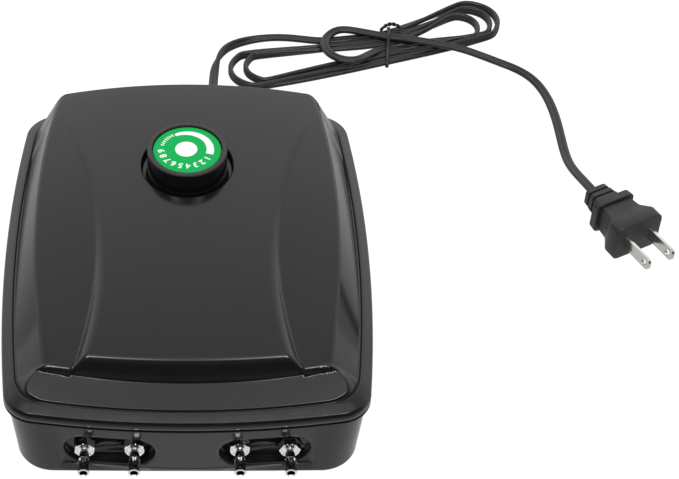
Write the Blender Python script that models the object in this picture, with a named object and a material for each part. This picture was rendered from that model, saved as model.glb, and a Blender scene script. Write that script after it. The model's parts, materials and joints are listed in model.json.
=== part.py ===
"""Four-outlet diaphragm air pump, modelled as the assembly that it is.

The casing stands on four rubber feet with +Z up and its outlets towards -Y.
Everything in the casing is parented to the empty "pump", whose origin is the
middle of the casing's lower edge. Lengths are in metres; MM turns the
drawing's millimetres into them.
"""
import math

import bmesh
import bpy
from mathutils import Matrix, Vector

MM = 0.001

# ---- driving dimensions, in millimetres, in the casing's own frame ----
GAP = 0.3                       # left between pieces that touch
MERGE = 0.0001                  # points nearer than this are one point
FOOT_HEIGHT = 3.0
CASING_Y = 3.4                  # centres the outlets and the back wall on Y = 0

RIM = dict(half_x=76.0, half_y=92.6, sag_x=6.4, sag_y=7.6, corner=13.8)
WALL_TOP = dict(half_x=74.8, half_y=91.5, sag_x=6.4, sag_y=7.6, corner=16.7)
BOTTOM = dict(half_x=72.4, half_y=88.4, sag_x=6.4, sag_y=0.6, corner=15.1)
FOOT_LINE = dict(half_x=70.8, half_y=87.4, sag_x=6.4, sag_y=7.6, corner=15.0)
WALL = 2.4

LIP_FOOT, LIP_LOW, LIP_TOP = 27.9, 29.0, 29.6
COVER_LOW = 30.6
FOOT_LINE_Z = 36.5
FLANGE = [(0.0, 32.1), (0.22, 33.0), (0.68, 34.05), (1.0, 34.45), (4.2, 36.14), (4.9, 35.6)]

KNOB_Y = 25.4
KNOB_R, KNOB_LOW, KNOB_TOP = 16.6, 58.6, 70.0
WELL_R, WELL_FLOOR = 19.1, 57.4

OUTLET_X = (-40.2, -20.6, 20.6, 40.2)
OUTLET_Z = 13.2
NOZZLE_Z = 18.9
POCKET_X, POCKET_Z = 30.4, 13.9
POCKET_HALF, POCKET_R = 18.0, 8.6
POCKET_FLOOR, POCKET_BACK = -84.1, 2.2
BOSS_HALF_X, BOSS_HALF_Z, BOSS_FRONT = 20.4, 10.8, -88.2
OUTLET_HOLE_R = 3.4
HEX_FRONT, OUTLET_TIP = -88.2, -99.3

SCREW_X, SCREW_Y = 56.0, 73.0
SCREW_BOSS_R, SCREW_HEAD_HOLE_R, SCREW_HOLE_R = 4.8, 3.6, 1.9
FOOT_X, FOOT_Y = 54.0, 55.0
FOOT_R, FOOT_STEM_R, FOOT_HOLE_R = 7.0, 2.6, 2.9
FILTER_Y = 58.0
FILTER_BOSS_R, FILTER_BORE_R, FILTER_ROOF = 21.6, 19.4, 8.4
INTAKE_HOLES, INTAKE_RING_R, INTAKE_HOLE_R = 6, 10.0, 2.2

CORE_Y, CORE_Z = -19.0, 18.0
CORE_SCREW_REACH, CORE_BOSS_R, CORE_BOSS_TOP = 13.0, 4.4, 7.7
ARM_X = 28.3
ARM_PIVOT_Y = 46.0
DIAPHRAGM_Y = 12.0

EXIT_X, EXIT_Z = 11.5, 12.0
EXIT_HOLE_R, BACK_WALL_Y = 4.3, 90.2
CORD_D = 4.0

# The free cord's route on the floor, in world millimetres.
LEAD_ROUTE = [
    (11.5, 117.6, 15.0), (11.5, 122.0, 14.8), (11.7, 132.0, 10.0), (12.1, 142.5, 4.2),
    (12.5, 151.0, 2.2), (12.9, 158.5, 2.0), (13.5, 166.0, 2.0), (15.0, 173.5, 2.0),
    (18.6, 181.0, 2.0), (24.4, 186.3, 2.0), (31.6, 189.8, 2.0), (40.0, 191.7, 2.0),
    (49.2, 191.9, 2.0), (58.0, 190.6, 2.0),
]
TAIL_ROUTE = [
    (154.6, 171.9, 2.0), (162.6, 167.0, 2.0), (169.4, 159.6, 2.0), (173.7, 149.6, 2.0),
    (175.9, 138.8, 2.0), (176.9, 127.8, 2.0), (177.2, 117.0, 2.0), (177.4, 106.0, 2.0),
    (178.0, 97.0, 3.0), (179.3, 88.6, 4.9), (181.4, 79.4, 7.6), (184.1, 70.4, 9.3),
]
HANK_LEFT, HANK_LEFT_R = (34.5, 165.4), 15.2
HANK_RIGHT, HANK_RIGHT_R = (142.8, 202.6), 16.6
HANK_LOW, HANK_TOP = 0.2, 6.8
TIE_FAR, TIE_NEAR = (101.8, 198.6), (98.9, 169.4)
PLUG_END = (184.3, 69.9)
PLUG_AIM = math.atan2(-0.888, 0.46)
PLUG_HEIGHT = 9.3

BLACK = (0.045, 0.045, 0.047)


# ---- scene, materials and placing ----
def clear_scene():
    for obj in list(bpy.context.scene.objects):
        bpy.data.objects.remove(obj, do_unlink=True)


def new_collection(name):
    collection = bpy.data.collections.new(name)
    bpy.context.scene.collection.children.link(collection)
    return collection


def make_material(name, color, roughness, metallic=0.0):
    material = bpy.data.materials.new(name)
    material.use_nodes = True
    shader = material.node_tree.nodes["Principled BSDF"]
    shader.inputs["Base Color"].default_value = (*color, 1.0)
    shader.inputs["Roughness"].default_value = roughness
    shader.inputs["Metallic"].default_value = metallic
    material.diffuse_color = (*color, 1.0)
    return material


def place(name, bm, material, parent=None, location=(0, 0, 0), smooth=35.0):
    """Turn a bmesh in millimetres into a named object, with its origin at location."""
    bmesh.ops.remove_doubles(bm, verts=bm.verts, dist=MERGE)
    bmesh.ops.recalc_face_normals(bm, faces=bm.faces)
    bmesh.ops.translate(bm, verts=bm.verts, vec=-Vector(location))
    bmesh.ops.scale(bm, verts=bm.verts, vec=(MM, MM, MM))
    mesh = bpy.data.meshes.new(name)
    bm.to_mesh(mesh)
    bm.free()
    mesh.shade_smooth()
    mesh.set_sharp_from_angle(angle=math.radians(smooth))
    mesh.materials.append(material)
    obj = bpy.data.objects.new(name, mesh)
    obj.location = Vector(location) * MM
    obj.parent = parent
    PARTS.objects.link(obj)
    return obj


def cut(obj, bm, operation="DIFFERENCE"):
    """Apply a bmesh cutter, in the casing's millimetres, to an object or another cutter."""
    bmesh.ops.recalc_face_normals(bm, faces=bm.faces)
    bmesh.ops.scale(bm, verts=bm.verts, vec=(MM, MM, MM))
    mesh = bpy.data.meshes.new(obj.name + "_cutter")
    bm.to_mesh(mesh)
    bm.free()
    cutter = bpy.data.objects.new(obj.name + "_cutter", mesh)
    cutter.parent = obj.parent
    cutter.hide_render = True
    cutter.display_type = "WIRE"
    CUTTERS.objects.link(cutter)
    boolean = obj.modifiers.new("cut", "BOOLEAN")
    boolean.operation = operation
    boolean.solver = "EXACT"
    boolean.object = cutter
    return cutter


# ---- basic solids, in millimetres ----
def box(low, high, bevel=0.0):
    bm = bmesh.new()
    bmesh.ops.create_cube(bm, size=1.0)
    low, high = Vector(low), Vector(high)
    size, middle = high - low, (low + high) / 2
    bmesh.ops.scale(bm, verts=bm.verts, vec=size)
    bmesh.ops.translate(bm, verts=bm.verts, vec=middle)
    if bevel:
        bmesh.ops.bevel(bm, geom=bm.edges, offset=bevel, segments=1, affect="EDGES")
    return bm


def cylinder(start, end, radius, end_radius=None, segments=24):
    """A closed cylinder or cone between two points."""
    start, end = Vector(start), Vector(end)
    axis = end - start
    bm = bmesh.new()
    bmesh.ops.create_cone(
        bm, cap_ends=True, segments=segments, radius1=radius,
        radius2=radius if end_radius is None else end_radius, depth=axis.length,
    )
    turn = Vector((0, 0, 1)).rotation_difference(axis.normalized()).to_matrix().to_4x4()
    bmesh.ops.transform(bm, matrix=Matrix.Translation((start + end) / 2) @ turn, verts=bm.verts)
    return bm


def turned(profile, origin, axis, segments=32):
    """A closed solid turned about an axis; the profile is a list of (radius, along)."""
    axis = Vector(axis).normalized()
    side = axis.orthogonal().normalized()
    bm = bmesh.new()
    verts = [bm.verts.new(Vector(origin) + side * radius + axis * along) for radius, along in profile]
    edges = [bm.edges.new(pair) for pair in zip(verts, verts[1:])]
    bmesh.ops.spin(bm, geom=verts + edges, cent=origin, axis=axis, angle=math.tau, steps=segments)
    bmesh.ops.remove_doubles(bm, verts=bm.verts, dist=MERGE)
    return bm


def prism(outline, low, high, axis="Z", holes=()):
    """Extrude a closed outline of (u, v) points along an axis; holes are outlines too."""
    frames = {
        "Z": lambda u, v, w: (u, v, w),
        "Y": lambda u, v, w: (u, w, v),
        "X": lambda u, v, w: (w, u, v),
    }
    bm = bmesh.new()
    edges = []
    for loop in (outline, *holes):
        verts = [bm.verts.new(frames[axis](u, v, low)) for u, v in loop]
        edges += [bm.edges.new((a, b)) for a, b in zip(verts, verts[1:] + verts[:1])]
    flat = bmesh.ops.triangle_fill(bm, use_beauty=True, use_dissolve=False, edges=edges)
    faces = [item for item in flat["geom"] if isinstance(item, bmesh.types.BMFace)]
    grown = bmesh.ops.extrude_face_region(bm, geom=faces)
    moved = [item for item in grown["geom"] if isinstance(item, bmesh.types.BMVert)]
    bmesh.ops.translate(bm, verts=moved, vec=frames[axis](0, 0, high - low))
    return bm


def arc(centre, radius, start, end, steps):
    """Points on an arc, with angles in degrees, both ends included."""
    angles = [math.radians(start + (end - start) * i / steps) for i in range(steps + 1)]
    return [(centre[0] + radius * math.cos(a), centre[1] + radius * math.sin(a)) for a in angles]


def stadium(centre, half_length, radius, steps=8):
    reach = half_length - radius
    right = arc((centre[0] + reach, centre[1]), radius, -90, 90, steps)
    left = arc((centre[0] - reach, centre[1]), radius, 90, 270, steps)
    return right + left


def hexagon(centre, across_flats, turn=0.0):
    radius = across_flats / math.sqrt(3)
    return [
        (centre[0] + radius * math.cos(math.radians(60 * i + turn)),
         centre[1] + radius * math.sin(math.radians(60 * i + turn)))
        for i in range(6)
    ]


def tube(name, points, diameter, material, parent=None):
    """A round cord or hose on a smooth curve through its points, sampled every few diameters."""
    smooth_points = sample_spline(points, step=2.2 * diameter)
    curve = bpy.data.curves.new(name, "CURVE")
    curve.dimensions = "3D"
    curve.bevel_depth = diameter / 2 * MM
    curve.bevel_resolution = 2
    curve.use_fill_caps = True
    spline = curve.splines.new("POLY")
    spline.points.add(len(smooth_points) - 1)
    for point, target in zip(smooth_points, spline.points):
        target.co = (*(Vector(point) * MM), 1.0)
    curve.materials.append(material)
    obj = bpy.data.objects.new(name, curve)
    obj.parent = parent
    PARTS.objects.link(obj)
    return obj


def sample_spline(points, step):
    """Points at even steps along a Catmull-Rom curve through the given points."""
    given = [Vector(p) for p in points]
    padded = [2 * given[0] - given[1], *given, 2 * given[-1] - given[-2]]
    fine = [given[0]]
    for a, b, c, d in zip(padded, padded[1:], padded[2:], padded[3:]):
        for i in range(1, 17):
            t = i / 16
            fine.append(0.5 * (2 * b + (c - a) * t + (2 * a - 5 * b + 4 * c - d) * t * t
                               + (3 * b - a - 3 * c + d) * t * t * t))
    length = sum((q - p).length for p, q in zip(fine, fine[1:]))
    count = max(2, round(length / step))
    chosen, travelled, wanted = [fine[0]], 0.0, length / count
    for p, q in zip(fine, fine[1:]):
        travelled += (q - p).length
        if travelled >= wanted * len(chosen) and len(chosen) < count:
            chosen.append(q)
    return chosen + [fine[-1]]


# ---- the casing's plan outline and the cover's height ----
def outline_point(shape, inset, quarter_t):
    """A point in the first quarter: 0 is the middle of the side, 3 the middle of the front."""
    half_x, half_y = shape["half_x"] - inset, shape["half_y"] - inset
    sag_x, sag_y = shape["sag_x"], shape["sag_y"]
    corner = max(shape["corner"] - inset, 1.0)
    centre_x, centre_y = half_x - sag_x - corner, half_y - sag_y - corner
    for _ in range(12):
        lean_x = math.atan(2 * sag_x * centre_y / half_y ** 2)
        tangent_y = centre_y + corner * math.sin(lean_x)
        centre_x = half_x - sag_x * (tangent_y / half_y) ** 2 - corner * math.cos(lean_x)
        lean_y = math.atan(2 * sag_y * centre_x / half_x ** 2)
        tangent_x = centre_x + corner * math.sin(lean_y)
        centre_y = half_y - sag_y * (tangent_x / half_x) ** 2 - corner * math.cos(lean_y)
    if quarter_t <= 1:
        y = tangent_y * quarter_t
        return half_x - sag_x * (y / half_y) ** 2, y
    if quarter_t <= 2:
        angle = lean_x + (math.pi / 2 - lean_y - lean_x) * (quarter_t - 1)
        return centre_x + corner * math.cos(angle), centre_y + corner * math.sin(angle)
    x = tangent_x * (3 - quarter_t)
    return x, half_y - sag_y * (x / half_x) ** 2


def plan_outline(shape, inset=0.0, side=4, corner=5, front=5):
    """The closed plan outline, anticlockwise from the middle of the +X side."""
    steps = [i / side for i in range(side)]
    steps += [1 + i / corner for i in range(corner)]
    steps += [2 + i / front for i in range(front + 1)]
    quarter = [outline_point(shape, inset, t) for t in steps]
    half = quarter + [(-x, y) for x, y in reversed(quarter[:-1])]
    return half + [(x, -y) for x, y in reversed(half[1:-1])]


def loft(rings, cap_first=True, cap_last=True):
    """Join rings of equally many (x, y, z) points into a surface."""
    bm = bmesh.new()
    loops = [[bm.verts.new(point) for point in ring] for ring in rings]
    for low, high in zip(loops, loops[1:]):
        for i in range(len(low)):
            j = (i + 1) % len(low)
            bm.faces.new((low[i], low[j], high[j], high[i]))
    if cap_first:
        bm.faces.new(reversed(loops[0]))
    if cap_last:
        bm.faces.new(loops[-1])
    return bm


def level(outline, z):
    return [(x, y, z) for x, y in outline]


def smooth_step(low, high, value):
    t = min(max((value - low) / (high - low), 0.0), 1.0)
    return t * t * (3 - 2 * t)


def smooth_min(a, b, blend):
    overlap = max(blend - abs(a - b), 0.0) / blend
    return min(a, b) - overlap * overlap * blend / 4


def smooth_max(a, b, blend):
    return -smooth_min(-a, -b, blend)


def rounded_corner(a, b, radius):
    """The lower of two heights, with a round of the given height where they meet."""
    over_a, over_b = radius - a, radius - b
    inside = min(max(over_a, over_b), 0.0)
    return radius - math.hypot(max(over_a, 0.0), max(over_b, 0.0)) - inside


def cover_height(x, y):
    """Height of the cover's dome: two low side panels and a raised waisted panel."""
    across = abs(x)
    if y < 50:
        crown = 62 - 12 * ((y - 50) / 123.5) ** 2
    else:
        crown = 62 - 3 * ((y - 50) / 30) ** 2
    fall = 0.0006 + 0.0007 * smooth_step(-75, 70, y)
    step = 4 * (1 - smooth_step(-75, 62, y))
    raised = crown - fall * across ** 2
    side_panel = raised - step

    bow = 2.5 * (across / 38) ** 2
    front_edge = 87.4 - 7.6 * (x / 76) ** 2
    apron = 0.53 * (y + front_edge)
    riser = FOOT_LINE_Z + 5.5 + 2.4 * (y + 77.2 - bow)
    slant = 0.196 * (across - 45) + 2.0 * max(0, 45 - across)
    side_riser = FOOT_LINE_Z + 7.7 + 2.4 * (y + 73.8 - slant)
    panel_edge = 36.8 + 0.0028 * (y + 22.3) ** 2
    panel_wall = side_panel + 1.2 * (panel_edge - across)

    front = smooth_max(apron, side_riser - FOOT_LINE_Z, 0.8)
    low_part = smooth_min(side_panel, FOOT_LINE_Z + front, 1.0)
    high_part = smooth_min(smooth_min(raised, riser, 4.5), panel_wall, 3.0)
    top = smooth_max(low_part, high_part, 1.0)

    crease = 62.4 - 0.00125 * (y - 2) ** 2
    side_edge = 70.8 - 6.4 * (y / 92.6) ** 2
    crease_height = max(crown - step - fall * crease ** 2 - FOOT_LINE_Z, 6)
    side = crease_height * (side_edge - across) / (side_edge - crease)
    back = 3.0 * (front_edge - y)
    top = smooth_min(top, FOOT_LINE_Z + side, 3.0)
    top = smooth_min(top, FOOT_LINE_Z + back, 3.0)

    lifted_front = front + 40 * smooth_step(50, 46, across)
    front_corner = rounded_corner(side, lifted_front, 11)
    back_corner = rounded_corner(side, back, 30)
    top = min(top, FOOT_LINE_Z + front_corner, FOOT_LINE_Z + back_corner)
    return max(top, FOOT_LINE_Z)


def raised_at_crease(crease, y, step, fall, crown):
    """Height of the side panel along its outer crease."""
    return max(crown - step - fall * crease ** 2, FOOT_LINE_Z + 6)


def inner_height(x, y, thickness=WALL):
    """The dome's inside: the lowest dome height within reach, less the wall."""
    reach = thickness * 0.9
    around = [cover_height(x + reach * math.cos(a), y + reach * math.sin(a))
              for a in (i * math.tau / 8 for i in range(8))]
    return min(min(around), cover_height(x, y)) - thickness * 0.8


# ---- casing ----
def make_base():
    bottom = plan_outline(BOTTOM)
    rim = plan_outline(RIM)
    outer = loft([
        level(plan_outline(BOTTOM, 1.6), 0.0), level(plan_outline(BOTTOM, 0.4), 0.4), level(bottom, 1.5),
        level(plan_outline(WALL_TOP), LIP_FOOT), level(rim, LIP_LOW), level(rim, LIP_TOP),
    ])
    base = place("base_shell", outer, SHELL, PUMP)
    hollow = loft([
        level(plan_outline(BOTTOM, WALL + 0.8), 2.6), level(plan_outline(WALL_TOP, WALL), LIP_TOP + 2),
    ])
    cut(base, hollow)

    bosses = []
    for middle in (-POCKET_X, POCKET_X):
        low = (middle - BOSS_HALF_X, BOSS_FRONT, POCKET_Z - BOSS_HALF_Z)
        high = (middle + BOSS_HALF_X, POCKET_FLOOR + POCKET_BACK, POCKET_Z + BOSS_HALF_Z)
        bosses.append(box(low, high))
    for x in (-SCREW_X, SCREW_X):
        for y in (-SCREW_Y, SCREW_Y):
            bosses.append(cylinder((x, y, 1.0), (x, y, LIP_TOP - 1.1), SCREW_BOSS_R, segments=16))
    for y in (CORE_Y - CORE_SCREW_REACH, CORE_Y + CORE_SCREW_REACH):
        bosses.append(cylinder((0, y, 1.0), (0, y, CORE_BOSS_TOP), CORE_BOSS_R, segments=16))
    roof = FILTER_ROOF + 2.2
    bosses.append(cylinder((0, FILTER_Y, 1.0), (0, FILTER_Y, roof), FILTER_BOSS_R, segments=32))
    for boss in bosses:
        cut(base, boss, "UNION")

    cuts = []
    for side in (-1, 1):
        outline = stadium((side * POCKET_X, POCKET_Z), POCKET_HALF, POCKET_R)
        cuts.append(prism(outline, -96.0, POCKET_FLOOR, axis="Y"))
    for x in OUTLET_X:
        start, end = (x, POCKET_FLOOR - 1, OUTLET_Z), (x, POCKET_FLOOR + 4, OUTLET_Z)
        cuts.append(cylinder(start, end, OUTLET_HOLE_R, segments=16))
    screw_hole = [(0, -1), (SCREW_HEAD_HOLE_R, -1), (SCREW_HEAD_HOLE_R, 5), (SCREW_HOLE_R, 5),
                  (SCREW_HOLE_R, LIP_TOP + 1), (0, LIP_TOP + 1)]
    for x in (-SCREW_X, SCREW_X):
        for y in (-SCREW_Y, SCREW_Y):
            cuts.append(turned(screw_hole, (x, y, 0), (0, 0, 1), segments=16))
    for y in (CORE_Y - CORE_SCREW_REACH, CORE_Y + CORE_SCREW_REACH):
        cuts.append(cylinder((0, y, 3.6), (0, y, CORE_BOSS_TOP + 1), SCREW_HOLE_R, segments=12))
    for x in (-FOOT_X, FOOT_X):
        for y in (-FOOT_Y, FOOT_Y):
            cuts.append(cylinder((x, y, -1), (x, y, 4), FOOT_HOLE_R, segments=16))
    cuts.append(cylinder((0, FILTER_Y, -1), (0, FILTER_Y, FILTER_ROOF), FILTER_BORE_R, segments=32))
    for i in range(INTAKE_HOLES):
        angle = math.tau * i / INTAKE_HOLES
        x, y = INTAKE_RING_R * math.cos(angle), FILTER_Y + INTAKE_RING_R * math.sin(angle)
        cuts.append(cylinder((x, y, FILTER_ROOF - 1), (x, y, roof + 1), INTAKE_HOLE_R, segments=10))
    start, end = (EXIT_X, BACK_WALL_Y - 6, EXIT_Z), (EXIT_X, BACK_WALL_Y + 6, EXIT_Z)
    cuts.append(cylinder(start, end, EXIT_HOLE_R, segments=20))
    for cutter in cuts:
        cut(base, cutter)


def dome_rings(count_pairs, height, outline_shape, inset):
    """Rings that shrink towards the middle of the cover, each at the given height."""
    rings = []
    edge = plan_outline(outline_shape, inset)
    for share in count_pairs:
        rings.append([(x * share, y * share, height(x * share, y * share)) for x, y in edge])
    return rings


def make_cover():
    shares_out = (1.0, 0.975, 0.945, 0.915, 0.885, 0.855, 0.82, 0.74, 0.64, 0.55, 0.46, 0.30)
    shares_in = (0.28, 0.52, 0.68, 0.80, 0.88, 0.94, 1.0)
    inside = dome_rings(shares_in, inner_height, FOOT_LINE, 4.0)
    inside.append(level(plan_outline(RIM, WALL + 1.2), 34.0))
    inside.append(level(plan_outline(RIM, WALL + 1.2), COVER_LOW - 2))
    outside = [level(plan_outline(RIM), COVER_LOW)]
    outside += [level(plan_outline(RIM, inset), z) for inset, z in FLANGE]
    outside += dome_rings(shares_out, cover_height, FOOT_LINE, 0.0)
    cover = place("cover_shell", loft(outside), SHELL, PUMP)
    hollow = cut(cover, loft(inside))
    well = (0, KNOB_Y)
    cut(hollow, cylinder((*well, WELL_FLOOR - 2.0), (*well, 70), WELL_R + 2.2, segments=32))
    for x in (-SCREW_X, SCREW_X):
        for y in (-SCREW_Y, SCREW_Y):
            cut(hollow, cylinder((x, y, COVER_LOW), (x, y, 70), 4.2, segments=12))
    cut(cover, cylinder((*well, WELL_FLOOR), (*well, 75), WELL_R, segments=32))
    cut(cover, cylinder((*well, 50), (*well, 60), 3.9, segments=20))
    for x in (-SCREW_X, SCREW_X):
        for y in (-SCREW_Y, SCREW_Y):
            cut(cover, cylinder((x, y, 28), (x, y, 38.0), 1.9, segments=12))


def make_gasket():
    low, high = LIP_TOP + GAP, COVER_LOW - GAP
    outer, inner = plan_outline(RIM, 1.0), plan_outline(RIM, 3.4)
    ring = loft([level(outer, low), level(outer, high), level(inner, high), level(inner, low),
                 level(outer, low)], cap_first=False, cap_last=False)
    place("rim_gasket", ring, RUBBER, PUMP)


def make_fasteners():
    for number, (x, y) in enumerate(((-SCREW_X, -SCREW_Y), (SCREW_X, -SCREW_Y),
                                     (-SCREW_X, SCREW_Y), (SCREW_X, SCREW_Y)), 1):
        profile = [(0, 1.6), (2.9, 1.6), (2.9, 4.7), (1.5, 4.7), (1.5, 37.6), (0, 37.6)]
        place(f"cover_screw_{number}", turned(profile, (x, y, 0), (0, 0, 1), 12), STEEL, PUMP)
    for number, (x, y) in enumerate(((-FOOT_X, -FOOT_Y), (FOOT_X, -FOOT_Y),
                                     (-FOOT_X, FOOT_Y), (FOOT_X, FOOT_Y)), 1):
        profile = [(0, -FOOT_HEIGHT), (FOOT_R - 0.6, -FOOT_HEIGHT), (FOOT_R, -2.4), (FOOT_R, -GAP),
                   (FOOT_STEM_R, -GAP), (FOOT_STEM_R, 2.2), (0, 2.2)]
        place(f"rubber_foot_{number}", turned(profile, (x, y, 0), (0, 0, 1), 16), RUBBER, PUMP)


# ---- air outlets and hoses ----
def make_outlets():
    for number, x in enumerate(OUTLET_X, 1):
        back = POCKET_FLOOR - GAP
        profile = [
            (0, OUTLET_TIP), (2.3, OUTLET_TIP), (2.4, OUTLET_TIP + 0.4), (2.25, OUTLET_TIP + 0.8),
            (2.25, OUTLET_TIP + 5.3), (2.45, OUTLET_TIP + 5.8), (2.45, OUTLET_TIP + 6.3),
            (1.95, OUTLET_TIP + 6.6), (1.95, HEX_FRONT + 0.5), (3.0, HEX_FRONT + 0.5), (3.0, -76.5),
            (2.4, -76.2), (2.4, -70.0), (0, -70.0),
        ]
        outlet = place(f"air_outlet_{number}", turned(profile, (x, 0, OUTLET_Z), (0, 1, 0), 12),
                       CHROME, PUMP)
        ring = prism(hexagon((x, OUTLET_Z), 7.6, 30), HEX_FRONT, back, axis="Y")
        cut(outlet, ring, "UNION")
        bore = cylinder((x, OUTLET_TIP - 1, OUTLET_Z), (x, -69, OUTLET_Z), 1.5, segments=12)
        cut(outlet, bore)
        hole = arc((x, OUTLET_Z), OUTLET_HOLE_R, 0, 345, 15)
        nut = prism(hexagon((x, OUTLET_Z), 9.0, 30), -81.5, -78.9, axis="Y", holes=(hole,))
        place(f"outlet_nut_{number}", nut, STEEL, PUMP)


def make_hoses():
    starts = dict(zip(OUTLET_X, (1, 2, 3, 4)))
    for x, number in starts.items():
        side = -1 if x < 0 else 1
        outer = abs(x) > 30
        end_x = side * (60.5 if outer else 49.5)
        points = [(x, -69.5, OUTLET_Z), (x, -62, OUTLET_Z), (x + side * 3, -52, OUTLET_Z + 2),
                  (end_x - side * 4, -36, NOZZLE_Z - 1), (end_x, -26, NOZZLE_Z), (end_x, -16.4, NOZZLE_Z)]
        tube(f"air_hose_{number}", points, 5.4, HOSE, PUMP)


# ---- drive: magnet, coil, arms, bellows and valves ----
def make_magnet():
    low, high = CORE_Z - 10, CORE_Z + 10
    half = [(18, 17), (18, 9), (7, 9), (7, -9), (18, -9), (18, -17)]
    outline = [(x, CORE_Y + y) for x, y in half] + [(-x, CORE_Y + y) for x, y in reversed(half)]
    core = place("magnet_core", prism(outline, low, high), LAMINATION, PUMP)
    for number, y in enumerate((CORE_Y - CORE_SCREW_REACH, CORE_Y + CORE_SCREW_REACH), 1):
        cut(core, cylinder((0, y, low - 1), (0, y, high + 1), SCREW_HOLE_R, segments=12))
        head = high + 2.4
        profile = [(0, head), (3.0, head), (3.0, high + GAP), (1.5, high + GAP), (1.5, 4.2), (0, 4.2)]
        place(f"core_screw_{number}", turned(profile, (0, y, 0), (0, 0, 1), 12), STEEL, PUMP)

    bobbin = place("coil_bobbin", box((-8.6, CORE_Y - 8.6, CORE_Z - 11.6),
                                      (8.6, CORE_Y + 8.6, CORE_Z + 11.6)), NYLON, PUMP)
    for side in (-1, 1):
        y = CORE_Y + side * 7.9
        cut(bobbin, box((-15, y - 0.7, CORE_Z - 14.6), (15, y + 0.7, CORE_Z + 14.6)), "UNION")
    cut(bobbin, box((-7.3, CORE_Y - 10, CORE_Z - 10.3), (7.3, CORE_Y + 10, CORE_Z + 10.3)))
    winding = place("coil_winding", box((-14.2, CORE_Y - 6.8, CORE_Z - 13.8),
                                        (14.2, CORE_Y + 6.8, CORE_Z + 13.8), bevel=2.0), COPPER, PUMP)
    cut(winding, box((-8.9, CORE_Y - 8, CORE_Z - 11.9), (8.9, CORE_Y + 8, CORE_Z + 11.9)))


def make_arm(side, word):
    hinge = (side * ARM_X, ARM_PIVOT_Y, 18.0)
    x = side * ARM_X
    place(f"swing_arm_{word}", box((x - 1, CORE_Y - 17, 11), (x + 1, 51.4, 25), bevel=0.4),
          STEEL, PUMP, location=hinge)
    inner = side * (ARM_X - 1 - GAP)
    low, high = sorted((inner, inner - side * 5.6))
    place(f"arm_magnet_{word}", box((low, CORE_Y - 15.5, 10), (high, CORE_Y + 15.5, 26), bevel=0.6),
          FERRITE, PUMP, location=hinge)
    block = place(f"arm_pivot_{word}", box((x - 5, 44.6, 2.9), (x + 5, 56.0, 28.5), bevel=1.0), RUBBER, PUMP)
    cut(block, box((x - 1.5, 44.0, 10.5), (x + 1.5, 52.2, 30.0)))


def make_bellows(side, word):
    x = side * (ARM_X + 1 + GAP)
    out = side
    profile = [
        (0.0, 0.0), (4.4, 0.0), (5.6, 1.2), (7.6, 1.2), (9.0, 4.0), (10.8, 2.6), (12.4, 5.4),
        (12.6, 11.2), (14.8, 11.2), (14.8, 12.8), (11.0, 12.8), (11.0, 6.6), (9.4, 5.8), (7.2, 3.2),
        (4.4, 3.2), (0.0, 3.2),
    ]
    origin = (x, DIAPHRAGM_Y, CORE_Z)
    place(f"diaphragm_{word}", turned(profile, origin, (out, 0, 0), 18), RUBBER, PUMP)

    face = x + side * (12.8 + GAP)
    far = side * 66.5
    low, high = sorted((face, far))
    chamber = place(f"valve_chamber_{word}", box((low, -10, 2.9), (high, 34, 34.5), bevel=0.8), NYLON, PUMP)
    cavity = cylinder((face - side, DIAPHRAGM_Y, CORE_Z), (face + side * 7.5, DIAPHRAGM_Y, CORE_Z), 10.8)
    cut(chamber, cavity)
    for nozzle_x in (49.5, 60.5):
        start, end = (side * nozzle_x, -9.0, NOZZLE_Z), (side * nozzle_x, -16.0, NOZZLE_Z)
        spigot = cylinder(start, end, 2.4, segments=16)
        cut(chamber, spigot, "UNION")
    flap = cylinder((face + side * 6.9, DIAPHRAGM_Y, CORE_Z), (face + side * 6.1, DIAPHRAGM_Y, CORE_Z), 8.0)
    place(f"flap_valve_{word}", flap, RUBBER, PUMP)


# ---- control ----
def make_knob():
    axis = (0, KNOB_Y, 0)
    centre = (0, KNOB_Y, KNOB_LOW)
    profile = [
        (0, 68.1), (14.4, 68.1), (14.4, 69.4), (14.9, KNOB_TOP), (16.0, KNOB_TOP), (16.6, 69.4),
        (KNOB_R, KNOB_LOW), (15.0, KNOB_LOW), (15.0, 63.0), (6.8, 63.0), (6.8, 60.2), (3.35, 60.2),
        (3.35, 66.6), (0, 66.6),
    ]
    place("control_knob", turned(profile, axis, (0, 0, 1), 36), SHELL, PUMP, location=centre)
    disc = [(0, 68.4), (14.0, 68.4), (14.0, 69.1), (13.8, 69.3), (0, 69.3)]
    place("dial_disc", turned(disc, axis, (0, 0, 1), 32), DIAL, PUMP, location=centre)
    shaft = [(0, 60.1), (2.9, 60.1), (2.9, 66.2), (0, 66.2)]
    place("potentiometer_shaft", turned(shaft, axis, (0, 0, 1), 16), NYLON, PUMP, location=centre)

    body = [(0, 46.0), (8.6, 46.0), (8.6, 55.0), (3.5, 55.0), (3.5, 59.7), (0, 59.7)]
    place("potentiometer", turned(body, axis, (0, 0, 1), 24), STEEL, PUMP)
    hole = arc((0, KNOB_Y), 3.9, 0, 345, 15)
    nut = prism(hexagon((0, KNOB_Y), 10.0), WELL_FLOOR + GAP, 59.7, holes=(hole,))
    place("potentiometer_nut", nut, STEEL, PUMP)


def make_electronics():
    board = (43.6, 45.2)
    place("control_board", box((-28, 4, board[0]), (28, 50, board[1])), BOARD, PUMP)
    on_board = board[1] + GAP
    can = [(0, on_board), (4.0, on_board), (4.0, 54.0), (3.6, 54.4), (0, 54.4)]
    place("board_capacitor", turned(can, (-18, 14, 0), (0, 0, 1), 20), NYLON, PUMP)
    place("board_triac", box((14, 9, on_board), (24, 13.5, 54.5), bevel=0.4), FERRITE, PUMP)
    place("terminal_block", box((-24, 38, on_board), (-8, 46, 53.5), bevel=0.5), TERMINAL, PUMP)


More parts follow.
